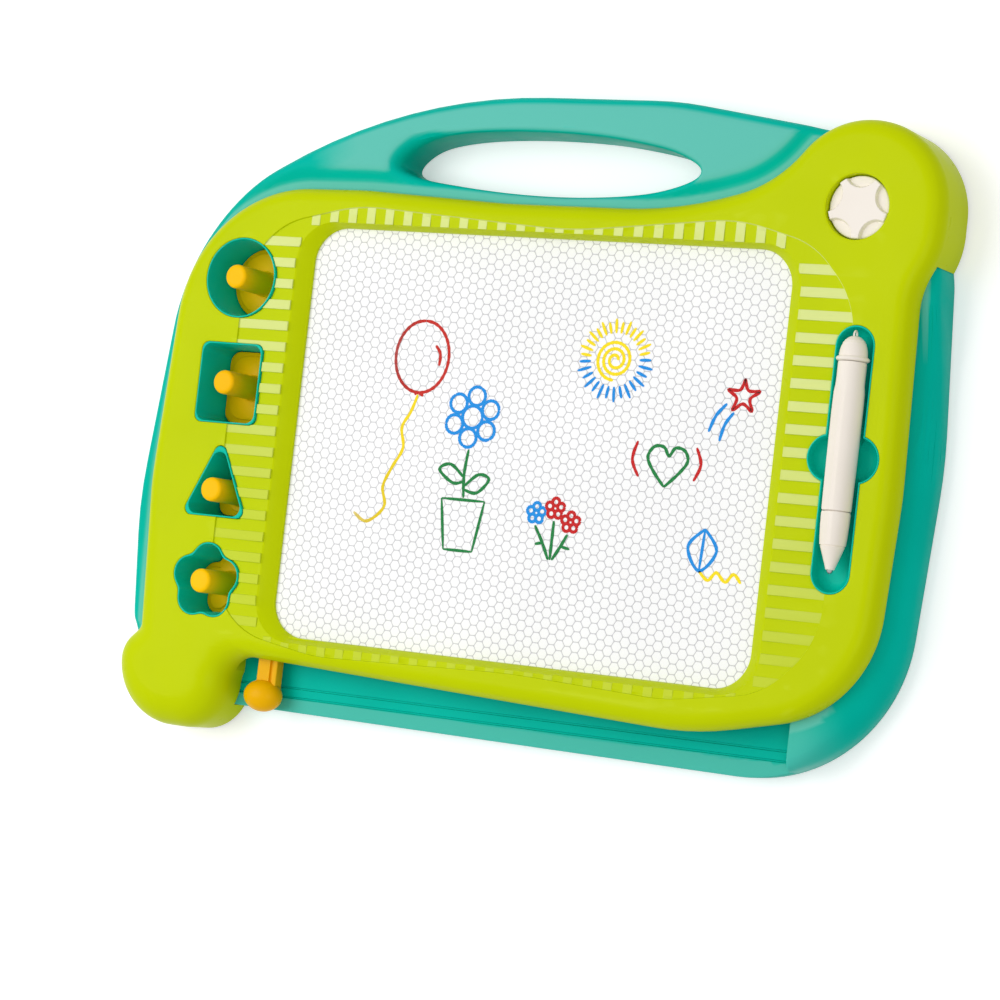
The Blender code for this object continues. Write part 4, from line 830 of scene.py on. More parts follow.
def frame_top(points):
    edge = distance_in(points, FRAME_OUTLINE)
    near_lobe = 1 - smooth(reach_from(points, *LOBE_MIDDLE), LOBE_NEAR, LOBE_FAR)
    z = FRAME_Z - rounding(edge, SHOULDER_RADIUS + LOBE_SHOULDER * near_lobe)
    band = distance_in(points, BAND_OUTLINE)
    floor = BAND_Z - BAND_DISH * (1 - np.exp(-np.maximum(band, 0) * BAND_SLOPE / BAND_DISH))
    floor += (BAND_Z - floor) * bar_share(points)
    z += (floor - FRAME_Z) * ramp(band, 0, BAND_RAMP)
    past_lip = -distance_in(points, LIP_OUTLINE)
    past_window = -distance_in(points, WINDOW_OUTLINE)
    fall = np.clip(-past_lip / np.maximum(past_window - past_lip, 1e-6), 0, 1)
    slope = floor + (LIP_EDGE_Z - floor) * fall ** LIP_CURVE
    z = np.where(past_lip < 1e-7, np.minimum(z, slope), z)
    for outline in (*WELLS.values(), tray_outline, dial_socket):
        z -= rounding(-distance_in(points, outline(0)), HOLE_EDGE)
    in_socket = reach_from(points, DIAL_X, DIAL_Y) < DIAL_HOLE_RADIUS - STEP / 2
    return np.where(in_socket, DIAL_SOCKET_Z, z)


def frame_bottom(points, high):
    seat = np.where(within(points, over_ledge(0)), LEDGE_SEAT_Z, FRAME_SEAT_Z)
    z = np.where(within(points, over_shell(0)), seat, FRAME_FOOT_Z)
    z = set_inside(points, z, frame_hollows(0))
    return np.minimum(z, high - np.where(z > FRAME_SEAT_Z, ROOF, THIN_ROOF))


def make_frame():
    loops = [rounded(FRAME_CORNERS, -growth) for growth in (0, *SHOULDER_RINGS)]
    for growth in (-STEP, 0, BAND_RAMP, BAND_RAMP + STEP):
        loops.append(rounded(BAND_CORNERS, -growth))
    steps = 16
    window = centred(SCREEN_X, SCREEN_Y, SCREEN_CORNER, 0, steps)
    for share in (0.25, 0.5, 0.75):
        loops.append([a.lerp(b, share) for a, b in zip(lip(0, steps), window)])
    loops += [LIP_OUTLINE, WINDOW_OUTLINE, lip(BAR_RAMP)]
    for left, right, bottom, top in BARS:
        loops.append(plain_box(left, right, bottom, top))
        loops.append(plain_box(left - BAR_RAMP, right + BAR_RAMP, bottom - BAR_RAMP, top + BAR_RAMP))
    for outline in (*WELLS.values(), tray_outline, dial_socket):
        loops += hole_loops(outline)
    loops.append(dial_socket(STEP))
    for growth in (0, STEP):
        loops += [outline for outline, height in frame_hollows(growth)]
        loops += [over_shell(growth), over_ledge(growth)]
    extra = quiet_points(FRAME_BOX, 0.0045, loops, 0.0007)

    def inside(places):
        kept = distance_in(places, FRAME_OUTLINE) > 0
        for outline in (*WELLS.values(), tray_outline):
            kept &= distance_in(places, outline(0)) < 0
        return kept & (distance_in(places, WINDOW_OUTLINE) < 0)

    mesh = slab("lime_frame", loops, extra, inside, frame_top, frame_bottom)
    flat, heights = mesh_points(mesh)
    x, y = flat.T
    band = distance_in(flat, BAND_OUTLINE)
    on_top = heights > FRAME_UNDER_Z
    in_band = (band > BAND_RAMP * 0.9) & on_top
    on_step = (band > -STEP / 2) & (band < BAND_RAMP + STEP / 2) & on_top
    # Painted highlight: a pale line along the band's upper edge step, fading out to the left and below.
    edge_highlight = BAND_EDGE_HIGHLIGHT * smooth(y, *BAND_HIGHLIGHT_Y) * smooth(x, *BAND_HIGHLIGHT_X)
    # Painted sheen: a paler lime on the bars' tops, weaker towards the lower left.
    bar_sheen = LOW_BAR_SHEEN + (1 - LOW_BAR_SHEEN) * smooth(y + BAR_SHEEN_TILT * np.minimum(x, 0), *BAR_SHEEN_Y)
    set_sheen_mask(mesh, "lime_sheen_and_highlight", np.maximum((bar_share(flat) > 0.9) * in_band * bar_sheen, on_step * edge_highlight))
    piece("lime_frame", mesh, LIME, "board", "lime_plastic", "front_frame")


# Rear shell

EDGE_RINGS = (0.0002, 0.0006, 0.0012, 0.002, 0.0032, 0.0048, 0.0066, 0.009, 0.012, 0.0155, 0.0195, 0.024)
EDGE_RADIUS = 0.0065
HOLE_RINGS = (0, 0.0002, 0.0006, 0.0012, 0.002, 0.003, 0.0042, 0.006, 0.008)
CROWN_RINGS = (-0.006, 0, 0.004, 0.0055, 0.007, 0.0085, 0.01, 0.0115, 0.013, 0.0145)
CROWN_RISE = 0.003
CROWN_SHEEN_X = -0.118
LEDGE_EDGE = 0.001
LEDGE_END_RADIUS = 0.0012
GROOVE_HALF_WIDTH = 0.0006
GROOVE_SIDE = 0.0003
SIDE_REACH = 0.024
SIDE_FALL = 0.017
FOOT_RADIUS = 0.0012
SHELL_ROOF = 0.0018
# Where forms of the shell and its painted sheen, a paler teal on its flats, fade, in places or in distances
# from the lime frame
SIDE_X = (0.155, 0.185)
SIDE_TOP_Y = 0.09
CROWN_END_X = (0.115, 0.15)
CROWN_SPAN = (0.004, 0.0135)
HOLE_RADIUS = 0.003
HOLE_LEFT_GROWTH = 0.005
HOLE_LEFT_X = (0.055, 0.086)
DECK_SHEEN_SPAN = (0.004, 0.006)
SHEEN_END_X = (0.165, 0.19)
LEDGE_SHEEN = 0.6
WEDGE_SHEEN = 0.5
WEDGE_X = (0.156, 0.181)
WEDGE_Y = (-0.125, -0.1)
# The shell's box, a little larger
BEYOND = (SHELL_BOX[0] - 0.002, SHELL_BOX[1] + 0.002, SHELL_BOX[2] - 0.002, SHELL_BOX[3] + 0.002)


def ledge_box(growth):
    return plain_box(BEYOND[0], LEDGE_END_X + growth, BEYOND[2], LEDGE_TOP_Y + growth)


def groove_box(place, growth=0):
    half = GROOVE_HALF_WIDTH - growth
    return CAVITY_BOX[0] + growth, LEDGE_END_X - 0.003 - growth, place - half, place + half


def shell_inner(growth):
    return rounded(SHELL_CORNERS, -SHELL_WALL - GAP - growth)


def shell_sinks(growth):
    """The outlines in the shell's top, drawn in by the growth, each with the height inside it."""
    out = STEP - growth
    half = RAIL_HALF_WIDTH + out
    sinks = [(rounded(CAVITY_CORNERS, -growth), FLOOR_Z)]
    sinks += [(ring(x, y, BOSS_RADIUS + out, 24), BOSS_TOP_Z) for x, y in BOSS_PLACES]
    for y in (-RAIL_Y, RAIL_Y):
        sinks.append((plain_box(-RAIL_X - out, RAIL_X + out, y - half, y + half), RAIL_TOP_Z))
    return sinks


def shell_pockets(growth):
    """The outlines under the shell, drawn in by the growth, each with the height inside it."""
    out = STEP - growth
    side = SHELL_RIB / 2 + out
    pockets = [
        (rounded(CAVITY_CORNERS, SHELL_WALL - growth), 0),
        (offset_outline(HOLE_OUTLINE, SHELL_WALL - growth), 0),
        (ledge_box(SHELL_WALL + out), 0),
        (ledge_box(-SHELL_WALL / 2 - growth), LEDGE_Z - GROOVE_DEPTH - SHELL_WALL),
    ]
    for share in UPRIGHT_RIB_SHARES:
        x = SHELL_BOX[0] + share * (SHELL_BOX[1] - SHELL_BOX[0])
        pockets.append((plain_box(x - side, x + side, BEYOND[2], BEYOND[3]), 0))
    for share in LEVEL_RIB_SHARES:
        y = SHELL_BOX[2] + share * (SHELL_BOX[3] - SHELL_BOX[2])
        pockets.append((plain_box(BEYOND[0], CAVITY_BOX[0] + out, y - side, y + side), 0))
        pockets.append((plain_box(CAVITY_BOX[1] - out, BEYOND[1], y - side, y + side), 0))
    pockets += [(ring(x, y, BOSS_BORE_RADIUS + out, 24), BOSS_BORE_Z) for x, y in BOSS_PLACES]
    return pockets


def on_right(points, start, end, low=0.04):
    """1 on the shell's right side below the upper right lobe, 0 to the left of it."""
    return smooth(points[:, 0], start, end) * (1 - smooth(points[:, 1], low, SIDE_TOP_Y))


def shell_top(points):
    x, y = points.T
    edge = distance_in(points, SHELL_OUTLINE)
    past_lime = -distance_in(points, FRAME_OUTLINE)
    right_side = on_right(points, *SIDE_X)
    rise = CROWN_RISE * smooth(past_lime, *CROWN_SPAN) * (1 - on_right(points, *CROWN_END_X))
    wide = np.clip(1 - edge / SIDE_REACH, 0, 1)
    fall = rounding(edge, EDGE_RADIUS) * (1 - right_side)
    fall += SIDE_FALL * (1 - np.sqrt(1 - wide ** 2)) * right_side
    hole_radius = HOLE_RADIUS + HOLE_LEFT_GROWTH * smooth(-x, *HOLE_LEFT_X)
    z = DECK_Z + rise - fall - rounding(-distance_in(points, HOLE_OUTLINE), hole_radius)
    past_end = (y < LEDGE_TOP_Y - STEP / 2) & (x > LEDGE_END_X - STEP / 2)
    z -= np.where(past_end, rounding(x - LEDGE_END_X, LEDGE_END_RADIUS), 0)
    ledge = LEDGE_Z - rounding(edge, LEDGE_EDGE)
    for place in GROOVE_PLACES:
        ledge -= GROOVE_DEPTH * smooth(box_distance_in(points, *groove_box(place)), 0, GROOVE_SIDE)
    z = np.where(within(points, ledge_box(0)), ledge, z)
    return set_inside(points, z, shell_sinks(0))


def shell_bottom(points, high):
    """Back pockets round the rim and under the ledge, with ribs across them."""
    z = set_inside(points, np.full(len(points), DECK_Z - SHELL_WALL), shell_pockets(0))
    z = np.where(within(points, shell_inner(0)), z, 0)
    foot = rounding(distance_in(points, SHELL_OUTLINE), FOOT_RADIUS)
    foot += rounding(-distance_in(points, HOLE_OUTLINE), 0.001)
    return np.minimum(np.maximum(z, foot), high - SHELL_ROOF)


def make_shell():
    loops = [rounded(SHELL_CORNERS, -growth) for growth in (0, *EDGE_RINGS)]
    loops += [offset_outline(HOLE_OUTLINE, growth) for growth in HOLE_RINGS]
    loops += [rounded(FRAME_CORNERS, growth) for growth in CROWN_RINGS]
    for growth in (0, STEP):
        loops += [outline for outline, height in shell_sinks(growth) + shell_pockets(growth)]
        loops += [shell_inner(growth), ledge_box(-growth)]
    for place in GROOVE_PLACES:
        loops += [plain_box(*groove_box(place, growth)) for growth in (0, 0.0001, 0.0002, GROOVE_SIDE)]
    for reach in (0.0003, 0.0007, LEDGE_END_RADIUS):
        loops.append(plain_box(LEDGE_END_X, LEDGE_END_X + reach, BEYOND[2], LEDGE_TOP_Y - STEP))
    extra = quiet_points(SHELL_BOX, 0.005, loops, 0.0008)

    def inside(places):
        return (distance_in(places, SHELL_OUTLINE) > 0) & (distance_in(places, HOLE_OUTLINE) < 0)

    mesh = with_window(slab("teal_shell", loops, extra, inside, shell_top, shell_bottom))
    flat, heights = mesh_points(mesh)
    x, y = flat.T
    # Painted sheen: a paler teal on the flat deck by the lime frame, the crown, the ledge's outer strip and
    # the wedge past the ledge's end.
    deck = 1 - smooth(-distance_in(flat, FRAME_OUTLINE), *DECK_SHEEN_SPAN)
    deck *= np.abs(heights - DECK_Z) < 0.0006
    crown = smooth(heights - DECK_Z, CROWN_RISE - 0.0011, CROWN_RISE - 0.0002)
    crown *= smooth(x, CROWN_SHEEN_X - 0.022, CROWN_SHEEN_X)
    ledge = ramp(GROOVE_PLACES[-1] - GROOVE_HALF_WIDTH - y, 0, GROOVE_SIDE)
    ledge *= np.abs(heights - LEDGE_Z) < 0.0005
    flat_sheen = np.maximum(np.maximum(deck, crown), LEDGE_SHEEN * ledge) * (1 - on_right(flat, *SHEEN_END_X, 0.05))
    wedge = ramp(x, LEDGE_END_X - 0.0003, LEDGE_END_X) * (1 - smooth(x, *WEDGE_X))
    wedge *= 1 - smooth(y, *WEDGE_Y)
    set_sheen_mask(mesh, "teal_painted_sheen", np.maximum(flat_sheen, WEDGE_SHEEN * wedge))
    piece("teal_shell", mesh, TEAL, "board", "teal_plastic", "rear_shell")


def with_window(mesh):
    """The mesh with the window that the eraser's stem slides in."""
    (left, right), (bottom, top), (low, high) = WINDOW_BOX
    window = prism(plain_box(left, right, bottom, top), low, high)
    body = link("window_body", mesh)
    cutter = link("window_cutter", new_mesh("window_cutter", *window))
    change = body.modifiers.new("window", "BOOLEAN")
    change.operation = "DIFFERENCE"
    change.solver = "EXACT"
    change.object = cutter
    bpy.context.view_layer.update()
    made = bpy.data.meshes.new_from_object(body.evaluated_get(bpy.context.evaluated_depsgraph_get()))
    for item in (body, cutter):
        bpy.data.objects.remove(item)
    return made


# Lofted and turned pieces


def faces_between(rows):
    """The faces between rows of points. Each row is a closed ring, and may be one point again and again."""
    faces = []
    for below, above in zip(rows, rows[1:]):
        for i in range(len(below)):
            after = (i + 1) % len(below)
            faces.append(tuple(dict.fromkeys((below[i], below[after], above[after], above[i]))))
    return faces


def rows_of(verts, count):
    return [range(first, first + count) for first in range(0, len(verts), count)]


def body_through(loops):
    """A closed body through loops of as many points each."""
    verts = [tuple(vert) for loop in loops for vert in loop]
    rows = rows_of(verts, len(loops[0]))
    return verts, faces_between(rows) + [tuple(rows[0])[::-1], tuple(rows[-1])]


def loft(outline, levels):
    """A closed body through an outline, at each level's margin and height."""
    return body_through([[(*place, height) for place in outline(margin)] for margin, height in levels])


def prism(outline, low, high):
    return body_through([[(*place, height) for place in outline] for height in (low, high)])


def turned(profile, segments):
    """A body of revolution about Z, through (radius, height) from one end on the axis to the other."""
    verts = []
    rows = []
    for radius, height in profile:
        count = segments if radius else 1
        rows.append([len(verts) + step % count for step in range(segments)])
        verts += [(x, y, height) for x, y in ring(0, 0, radius, count)]
    return verts, faces_between(rows)


def torus(radius, thickness, around, across):
    verts = []
    for step in range(around):
        angle = math.tau * step / around
        for reach, height in ring(radius, 0, thickness, across):
            verts.append((reach * math.cos(angle), reach * math.sin(angle), height))
    rows = rows_of(verts, across)
    return verts, faces_between(rows + rows[:1])


def joined(*bodies):
    """Several (verts, polygons) as one."""
    verts = []
    polygons = []
    for more, faces in bodies:
        first = len(verts)
        verts += more
        polygons += [tuple(first + i for i in face) for face in faces]
    return verts, polygons


def placed(body, matrix):
    verts, polygons = body
    return [tuple(matrix @ Vector(vert)) for vert in verts], polygons


def outward(mesh):
    work = bmesh.new()
    work.from_mesh(mesh)
    bmesh.ops.recalc_face_normals(work, faces=work.faces)
    work.to_mesh(mesh)
    work.free()
    return mesh


def bodies_mesh(name, *bodies):
    return outward(new_mesh(name, *joined(*bodies)))


# The rim of a cup: the margin from its hole in the frame, and the height
CUP_RIM = (
    (CUP_PLAY, WELL_RIM_Z - 0.0002), (CUP_PLAY + 0.0001, WELL_RIM_Z - 0.00005),
    (CUP_PLAY + 0.0002, WELL_RIM_Z), (CUP_LIP - 0.0003, WELL_RIM_Z),
    (CUP_LIP - 0.0001, WELL_RIM_Z - 0.00006), (CUP_LIP, WELL_RIM_Z - 0.0003),
)
# A peg: how far past its radius, at a height from the stamp's base and from the peg's top
PEG_FOOT = ((0.0009, -0.002), (0.0009, -0.0001), (0.0004, 0.0003), (0.0001, 0.001), (0, 0.002))
PEG_HEAD = ((-0.0001, -0.0016), (-0.0003, -0.0009), (-0.0008, -0.0004), (-0.0015, -0.0001), (-0.0024, 0))


def make_well(name, outline):
    inner = GAP + WELL_WALL
    levels = [(GAP, WELL_SEAT_Z), *CUP_RIM]
    levels += [(inner + 0.0001, 0.0058), (inner + 0.0006, 0.0048), (inner + 0.0016, WELL_FLOOR_Z)]
    mesh = bodies_mesh(f"{name}_cup", loft(outline, levels))
    piece(f"{name}_cup", mesh, LIGHTENED_WELL_TEAL, "board", "teal_plastic", f"{name}_well")


def make_stamp(name, outline):
    side = STAMP_MARGIN
    inner = side + STAMP_STEP_WIDTH
    step_z = STAMP_BASE_Z - STAMP_STEP_HEIGHT
    levels = [(side + 0.0003, STAMP_SEAT_Z), (side, STAMP_SEAT_Z + 0.0003)]
    levels += [(side, step_z - 0.0003), (side + 0.0001, step_z - 0.0001), (side + 0.0003, step_z)]
    levels += [(inner - 0.0003, step_z), (inner - 0.0001, step_z + 0.0001), (inner, step_z + 0.0003)]
    levels += [(inner + 0.0001, STAMP_BASE_Z - 0.0002), (inner + 0.0004, STAMP_BASE_Z)]
    profile = [(0, STAMP_BASE_Z - 0.002)]
    profile += [(PEG_RADIUS + out, STAMP_BASE_Z + up) for out, up in PEG_FOOT]
    profile += [(PEG_RADIUS + out, STAMP_TOP_Z + up) for out, up in PEG_HEAD]
    profile.append((0, STAMP_TOP_Z - 0.0001))
    peg = placed(turned(profile, 64), Matrix.Translation((*PEG_PLACES[name], 0)))
    mesh = bodies_mesh(f"{name}_stamp_body", loft(outline, levels), peg)
    piece(f"{name}_stamp_body", mesh, YELLOW, f"{name}_stamp_group", "yellow_plastic", f"{name}_stamp")


def make_tray():
    inner = GAP + TRAY_WALL
    levels = [(inner, TRAY_UNDER_Z), (inner, WELL_SEAT_Z), (GAP, WELL_SEAT_Z), *CUP_RIM]
    for step in range(1, 9):
        angle = math.pi / 2 * step / 8
        across = TRAY_BOWL * (1 - math.cos(angle))
        levels.append((inner + across, TRAY_FLOOR_Z + TRAY_BOWL * (1 - math.sin(angle))))
    mesh = bodies_mesh("pen_rest", loft(tray_outline, levels))
    piece("pen_rest", mesh, LIGHTENED_WELL_TEAL, "board", "teal_plastic", "pen_tray")


# Pen: profiles in millimetres, as radius and height along the pen from its point

FACET_WAY = math.radians(235)
FACET_GROOVE = 0.0004
FACET_HALF = 0.0036
FACET_START = (0.012, 0.016)
FACET_END = (0.0845, 0.0875)
PEN_MATRIX = Matrix.Translation((TRAY_X, PEN_POINT_Y, PEN_Z)) @ Matrix.Rotation(-math.pi / 2, 4, "X")
POINT_PROFILE = ((0, 0), (0.6, 0.1), (1.1, 0.5), (1.5, 1.2), (1.5, 12), (0, 12))
NOSE_PROFILE = (
    (0, 1.8), (1.8, 1.8), (2.2, 2.1), (2.4, 3), (3.4, 5.8), (4.6, 9.2), (5.6, 12.1), (5.75, 12.6),
    (5.6, 12.85), (5.6, 13.05), (6.1, 13.2), (6.4, 16.5), (6.7, 22), (6.85, 27.8), (6.6, 28.65),
    (5.5, 28.7), (5.2, 34.5), (0, 34.5),
)
BARREL_PROFILE = (
    (0, 29), (6.4, 29), (6.8, 29.3), (6.95, 30), (7.1, 45), (7.25, 62), (7.3, 75), (7.2, 83.5),
    (7, 85.5), (6.8, 87), (6.7, 89.5), (6.7, 97.3), (6.6, 98), (0, 98),
)
COLLAR_PROFILE = (
    (0, 98.3), (6.6, 98.3), (7.2, 98.5), (7.7, 98.8), (7.9, 99.4), (7.7, 100), (7.2, 100.4), (6.7, 100.6),
)
CAP_TOP = 110.3


def pen_body(profile, segments=96):
    return turned([(radius / 1000, height / 1000) for radius, height in profile], segments)


def pen_piece(name, body, material, node):
    mesh = bodies_mesh(name, placed(body, PEN_MATRIX))
    piece(name, mesh, material, "pen", "ivory_plastic", node)


def with_facet(body):
    """The pen's body, drawn in to a flat facet along one side, with a fine groove along one of its edges."""
    verts, polygons = body
    changed = []
    for x, y, height in verts:
        reach = math.hypot(x, y)
        turn = math.atan2(y, x) - FACET_WAY
        if math.cos(turn) > 0 and reach > 0.003:
            across = reach * math.sin(turn)
            flat = math.sqrt(max(reach * reach - FACET_HALF * FACET_HALF, 0))
            drop = reach * math.cos(turn) - flat if abs(across) < FACET_HALF else 0
            drop += FACET_GROOVE * (1 - smooth(abs(across - FACET_HALF), 0.0002, 0.0009))
            drop *= smooth(height, *FACET_START) * (1 - smooth(height, *FACET_END))
            x -= float(drop) * math.cos(FACET_WAY)
            y -= float(drop) * math.sin(FACET_WAY)
        changed.append((x, y, height))
    return changed, polygons


def make_pen():
    pen_piece("pen_cone", with_facet(pen_body(NOSE_PROFILE)), IVORY, "pen_nose")
    pen_piece("pen_body", with_facet(pen_body(BARREL_PROFILE)), IVORY, "pen_barrel")
    pen_piece("pen_point", with_facet(pen_body(POINT_PROFILE)), STEEL, "pen_tip")
    radius, foot = COLLAR_PROFILE[-1]
    cap = list(COLLAR_PROFILE)
    for step in range(1, 18):
        angle = math.pi / 2 * step / 18
        ring_rise = 0.22 if step in (8, 10) else 0
        cap.append((radius * math.cos(angle) ** 0.9 + ring_rise, foot + (CAP_TOP - foot) * math.sin(angle)))
    cap.append((0, CAP_TOP))
    eyelet_place = Matrix.Translation((0, 0, 0.1107)) @ Matrix.Rotation(math.pi / 2, 4, "Y")
    eyelet = placed(torus(0.0019, 0.00045, 28, 12), eyelet_place)
    pen_piece("pen_cap", joined(pen_body(cap, 64), eyelet), IVORY, "pen_end_cap")


# Dial

DIAL_EDGE = 0.0008
SCALLOP_RADIUS = 0.008
SCALLOP_REACH = 0.0172
SCALLOP_DEPTH = 0.0022
SCALLOPS = arc_points(DIAL_X, DIAL_Y, SCALLOP_REACH, math.pi / 2, math.pi / 2 + math.tau, 5)[:-1]


def dial_top(points):
    reach = reach_from(points, DIAL_X, DIAL_Y)
    z = FRAME_Z - DIAL_DROP - rounding(DIAL_RADIUS - reach, DIAL_EDGE)
    for x, y in SCALLOPS:
        z -= SCALLOP_DEPTH * smooth(SCALLOP_RADIUS - reach_from(points, x, y), -0.0004, 0.0006)
    return z


def make_dial():
    growths = (0, 0.0001, 0.0003, 0.0005, DIAL_EDGE)
    loops = [ring(DIAL_X, DIAL_Y, DIAL_RADIUS - growth, 120) for growth in growths]
    for x, y in SCALLOPS:
        for growth in (-0.0004, -0.0002, 0, 0.0002, 0.0005):
            loops.append(ring(x, y, SCALLOP_RADIUS - growth, 64))
    box = (DIAL_X - 0.016, DIAL_X + 0.016, DIAL_Y - 0.016, DIAL_Y + 0.016)
    extra = quiet_points(box, 0.002, loops, 0.0004)

    def inside(places):
        return distance_in(places, loops[0]) > 0

    def seat(points, high):
        return np.full(len(points), DIAL_SEAT_Z)

    mesh = slab("dial_face", loops, extra, inside, dial_top, seat)
    piece("dial_face", mesh, IVORY, "dial", "ivory_plastic", "dial_knob")


# Slider

STEM_X = 0.0058
STEM_Z = 0.00325
STEM_MIDDLE_Z = 0.019
STEM_END_Y = -0.1025
STEM_GROOVE = 0.0012
BALL_SIZE = (0.0105, 0.0082, 0.0079, 1)


def make_slider():
    corners = rectangle(-STEM_X, STEM_X, -STEM_Z, STEM_Z, 0.0008)
    section = [tuple(place) for place in rounded(corners, 0, 5)]
    low = STEM_Z - STEM_GROOVE
    first = next(i for i, (x, up) in enumerate(section) if up > STEM_Z - 1e-6 and x < STEM_X)
    section[first + 1 : first + 1] = [(0.0035, STEM_Z), (0.0033, low), (0.0017, low), (0.0015, STEM_Z)]
    levels = []
    for y in (BALL_Y, BALL_Y + 0.01, LEDGE_TOP_Y, STEM_END_Y):
        levels.append([(BALL_X + x, y, STEM_MIDDLE_Z + up) for x, up in section])
    angles = [math.pi * step / 32 - math.pi / 2 for step in range(1, 32)]
    profile = [(0, -1)] + [(math.cos(angle), math.sin(angle)) for angle in angles] + [(0, 1)]
    place = Matrix.Translation((BALL_X - 0.0018, BALL_Y, BALL_Z + 0.0003))
    ball = placed(turned(profile, 64), place @ Matrix.Diagonal(BALL_SIZE))
    mesh = bodies_mesh("eraser_ball", body_through(levels), ball)
    piece("eraser_ball", mesh, SLIDER_YELLOW, "eraser", "yellow_plastic", "slider_knob")


# Screen

CELL_PITCH = 0.005
CELL_LINE = 0.00047
CELL_BORDER = 0.003
CELL_SOFTNESS = 0.14
WALL_TOP_Z = CORE_TOP - 0.00008


def hexagon(x, y, reach):
    """A hexagon with a pair of level sides and softened corners."""
    corners = ring(x, y, reach, 6)
    points = []
    for i, here in enumerate(corners):
        points.append(here.lerp(corners[i - 1], CELL_SOFTNESS))
        points.append(here.lerp(corners[(i + 1) % 6], CELL_SOFTNESS))
    return points


def make_screen():
    base = prism(centred(PANEL_X, PANEL_Y, PANEL_CORNER, 0, 6), CORE_LOW, WALL_TOP_Z)
    mesh = bodies_mesh("cell_walls", base)
    piece("cell_walls", mesh, CELL_WALL, "board", "honeycomb_core", "honeycomb_core")
    reach = (CELL_PITCH - CELL_LINE) / 2 / math.cos(math.pi / 6)
    column_step = CELL_PITCH * math.cos(math.pi / 6)
    bodies = []
    columns = int(PANEL_X / column_step)
    rows = int(PANEL_Y / CELL_PITCH)
    for column in range(-columns, columns + 1):
        x = column * column_step
        for row in range(-rows, rows + 1):
            y = (row + (column % 2) / 2) * CELL_PITCH
            if abs(x) <= PANEL_X - CELL_BORDER and abs(y) <= PANEL_Y - CELL_BORDER:
                bodies.append(prism(hexagon(x, y, reach), WALL_TOP_Z - 0.0002, CORE_TOP))
    mesh = new_mesh("screen_cells", *joined(*bodies))
    piece("screen_cells", mesh, CELL_WHITE, "board", "honeycomb_core")


# Drawing on the screen: strokes of coloured powder, in plain motifs. Places are in millimetres.

STROKE_LOW = 0.02703
STROKE_HIGH = 0.02712
STROKE_WIDTH = 0.0016
STROKE_LIFT = 0.00001


def stroke(points, lift):
    """A flat ribbon along a path, narrower at its ends."""
    path = curved([(x / 1000, y / 1000) for x, y in points], 6 if len(points) > 2 else 4)
    last = len(path) - 1
    high = STROKE_HIGH + lift
    loops = []
    for i, place in enumerate(path):
        way = (path[min(i + 1, last)] - path[max(i - 1, 0)]).normalized()
        end = min(i, last - i)
        share = 0.45 if end == 0 else 0.85 if end == 1 else 1 + 0.12 * math.sin(i * 1.7)
        side = Vector((-way.y, way.x)) * STROKE_WIDTH / 2 * share
        corners = ((1, high), (-1, high), (-1, STROKE_LOW), (1, STROKE_LOW))
        loops.append([(*(place + side * sign), height) for sign, height in corners])
    return body_through(loops)


def polar(x, y, reach, angle):
    return x + reach * math.cos(angle), y + reach * math.sin(angle)


def oval(x, y, wide, tall, start=0, steps=18):
    angles = [start + math.tau * i / steps for i in range(steps + 1)]
    return [(x + wide * math.cos(angle), y + tall * math.sin(angle)) for angle in angles]


def petals(x, y, count, reach, turn, radius, steps, spin=0):
    lines = []
    for angle in (math.tau * i / count for i in range(count)):
        lines.append(oval(*polar(x, y, reach, angle + turn), radius, radius, spin * angle, steps))
    return lines


def star(x, y, outer, inner):
    return [polar(x, y, inner if i % 2 else outer, math.pi / 2 + math.pi * i / 5) for i in range(11)]


def spiral(x, y, start, end, turns, steps=40):
    shares = [i / steps for i in range(steps + 1)]
    return [polar(x, y, start + (end - start) * share, math.tau * turns * share) for share in shares]


def rays(x, y, near, far, start, end, count=15):
    lines = []
    for i in range(count):
        angle = start + (end - start) * i / (count - 1)
        lines.append([polar(x, y, near, angle), polar(x, y, far if i % 2 else far * 0.93, angle)])
    return lines


def drawing(name, material, *lines):
    bodies = [stroke(line, STROKE_LIFT * i) for i, line in enumerate(lines)]
    piece(f"drawing_{name}", bodies_mesh(f"drawing_{name}", *bodies), material, "board", None)


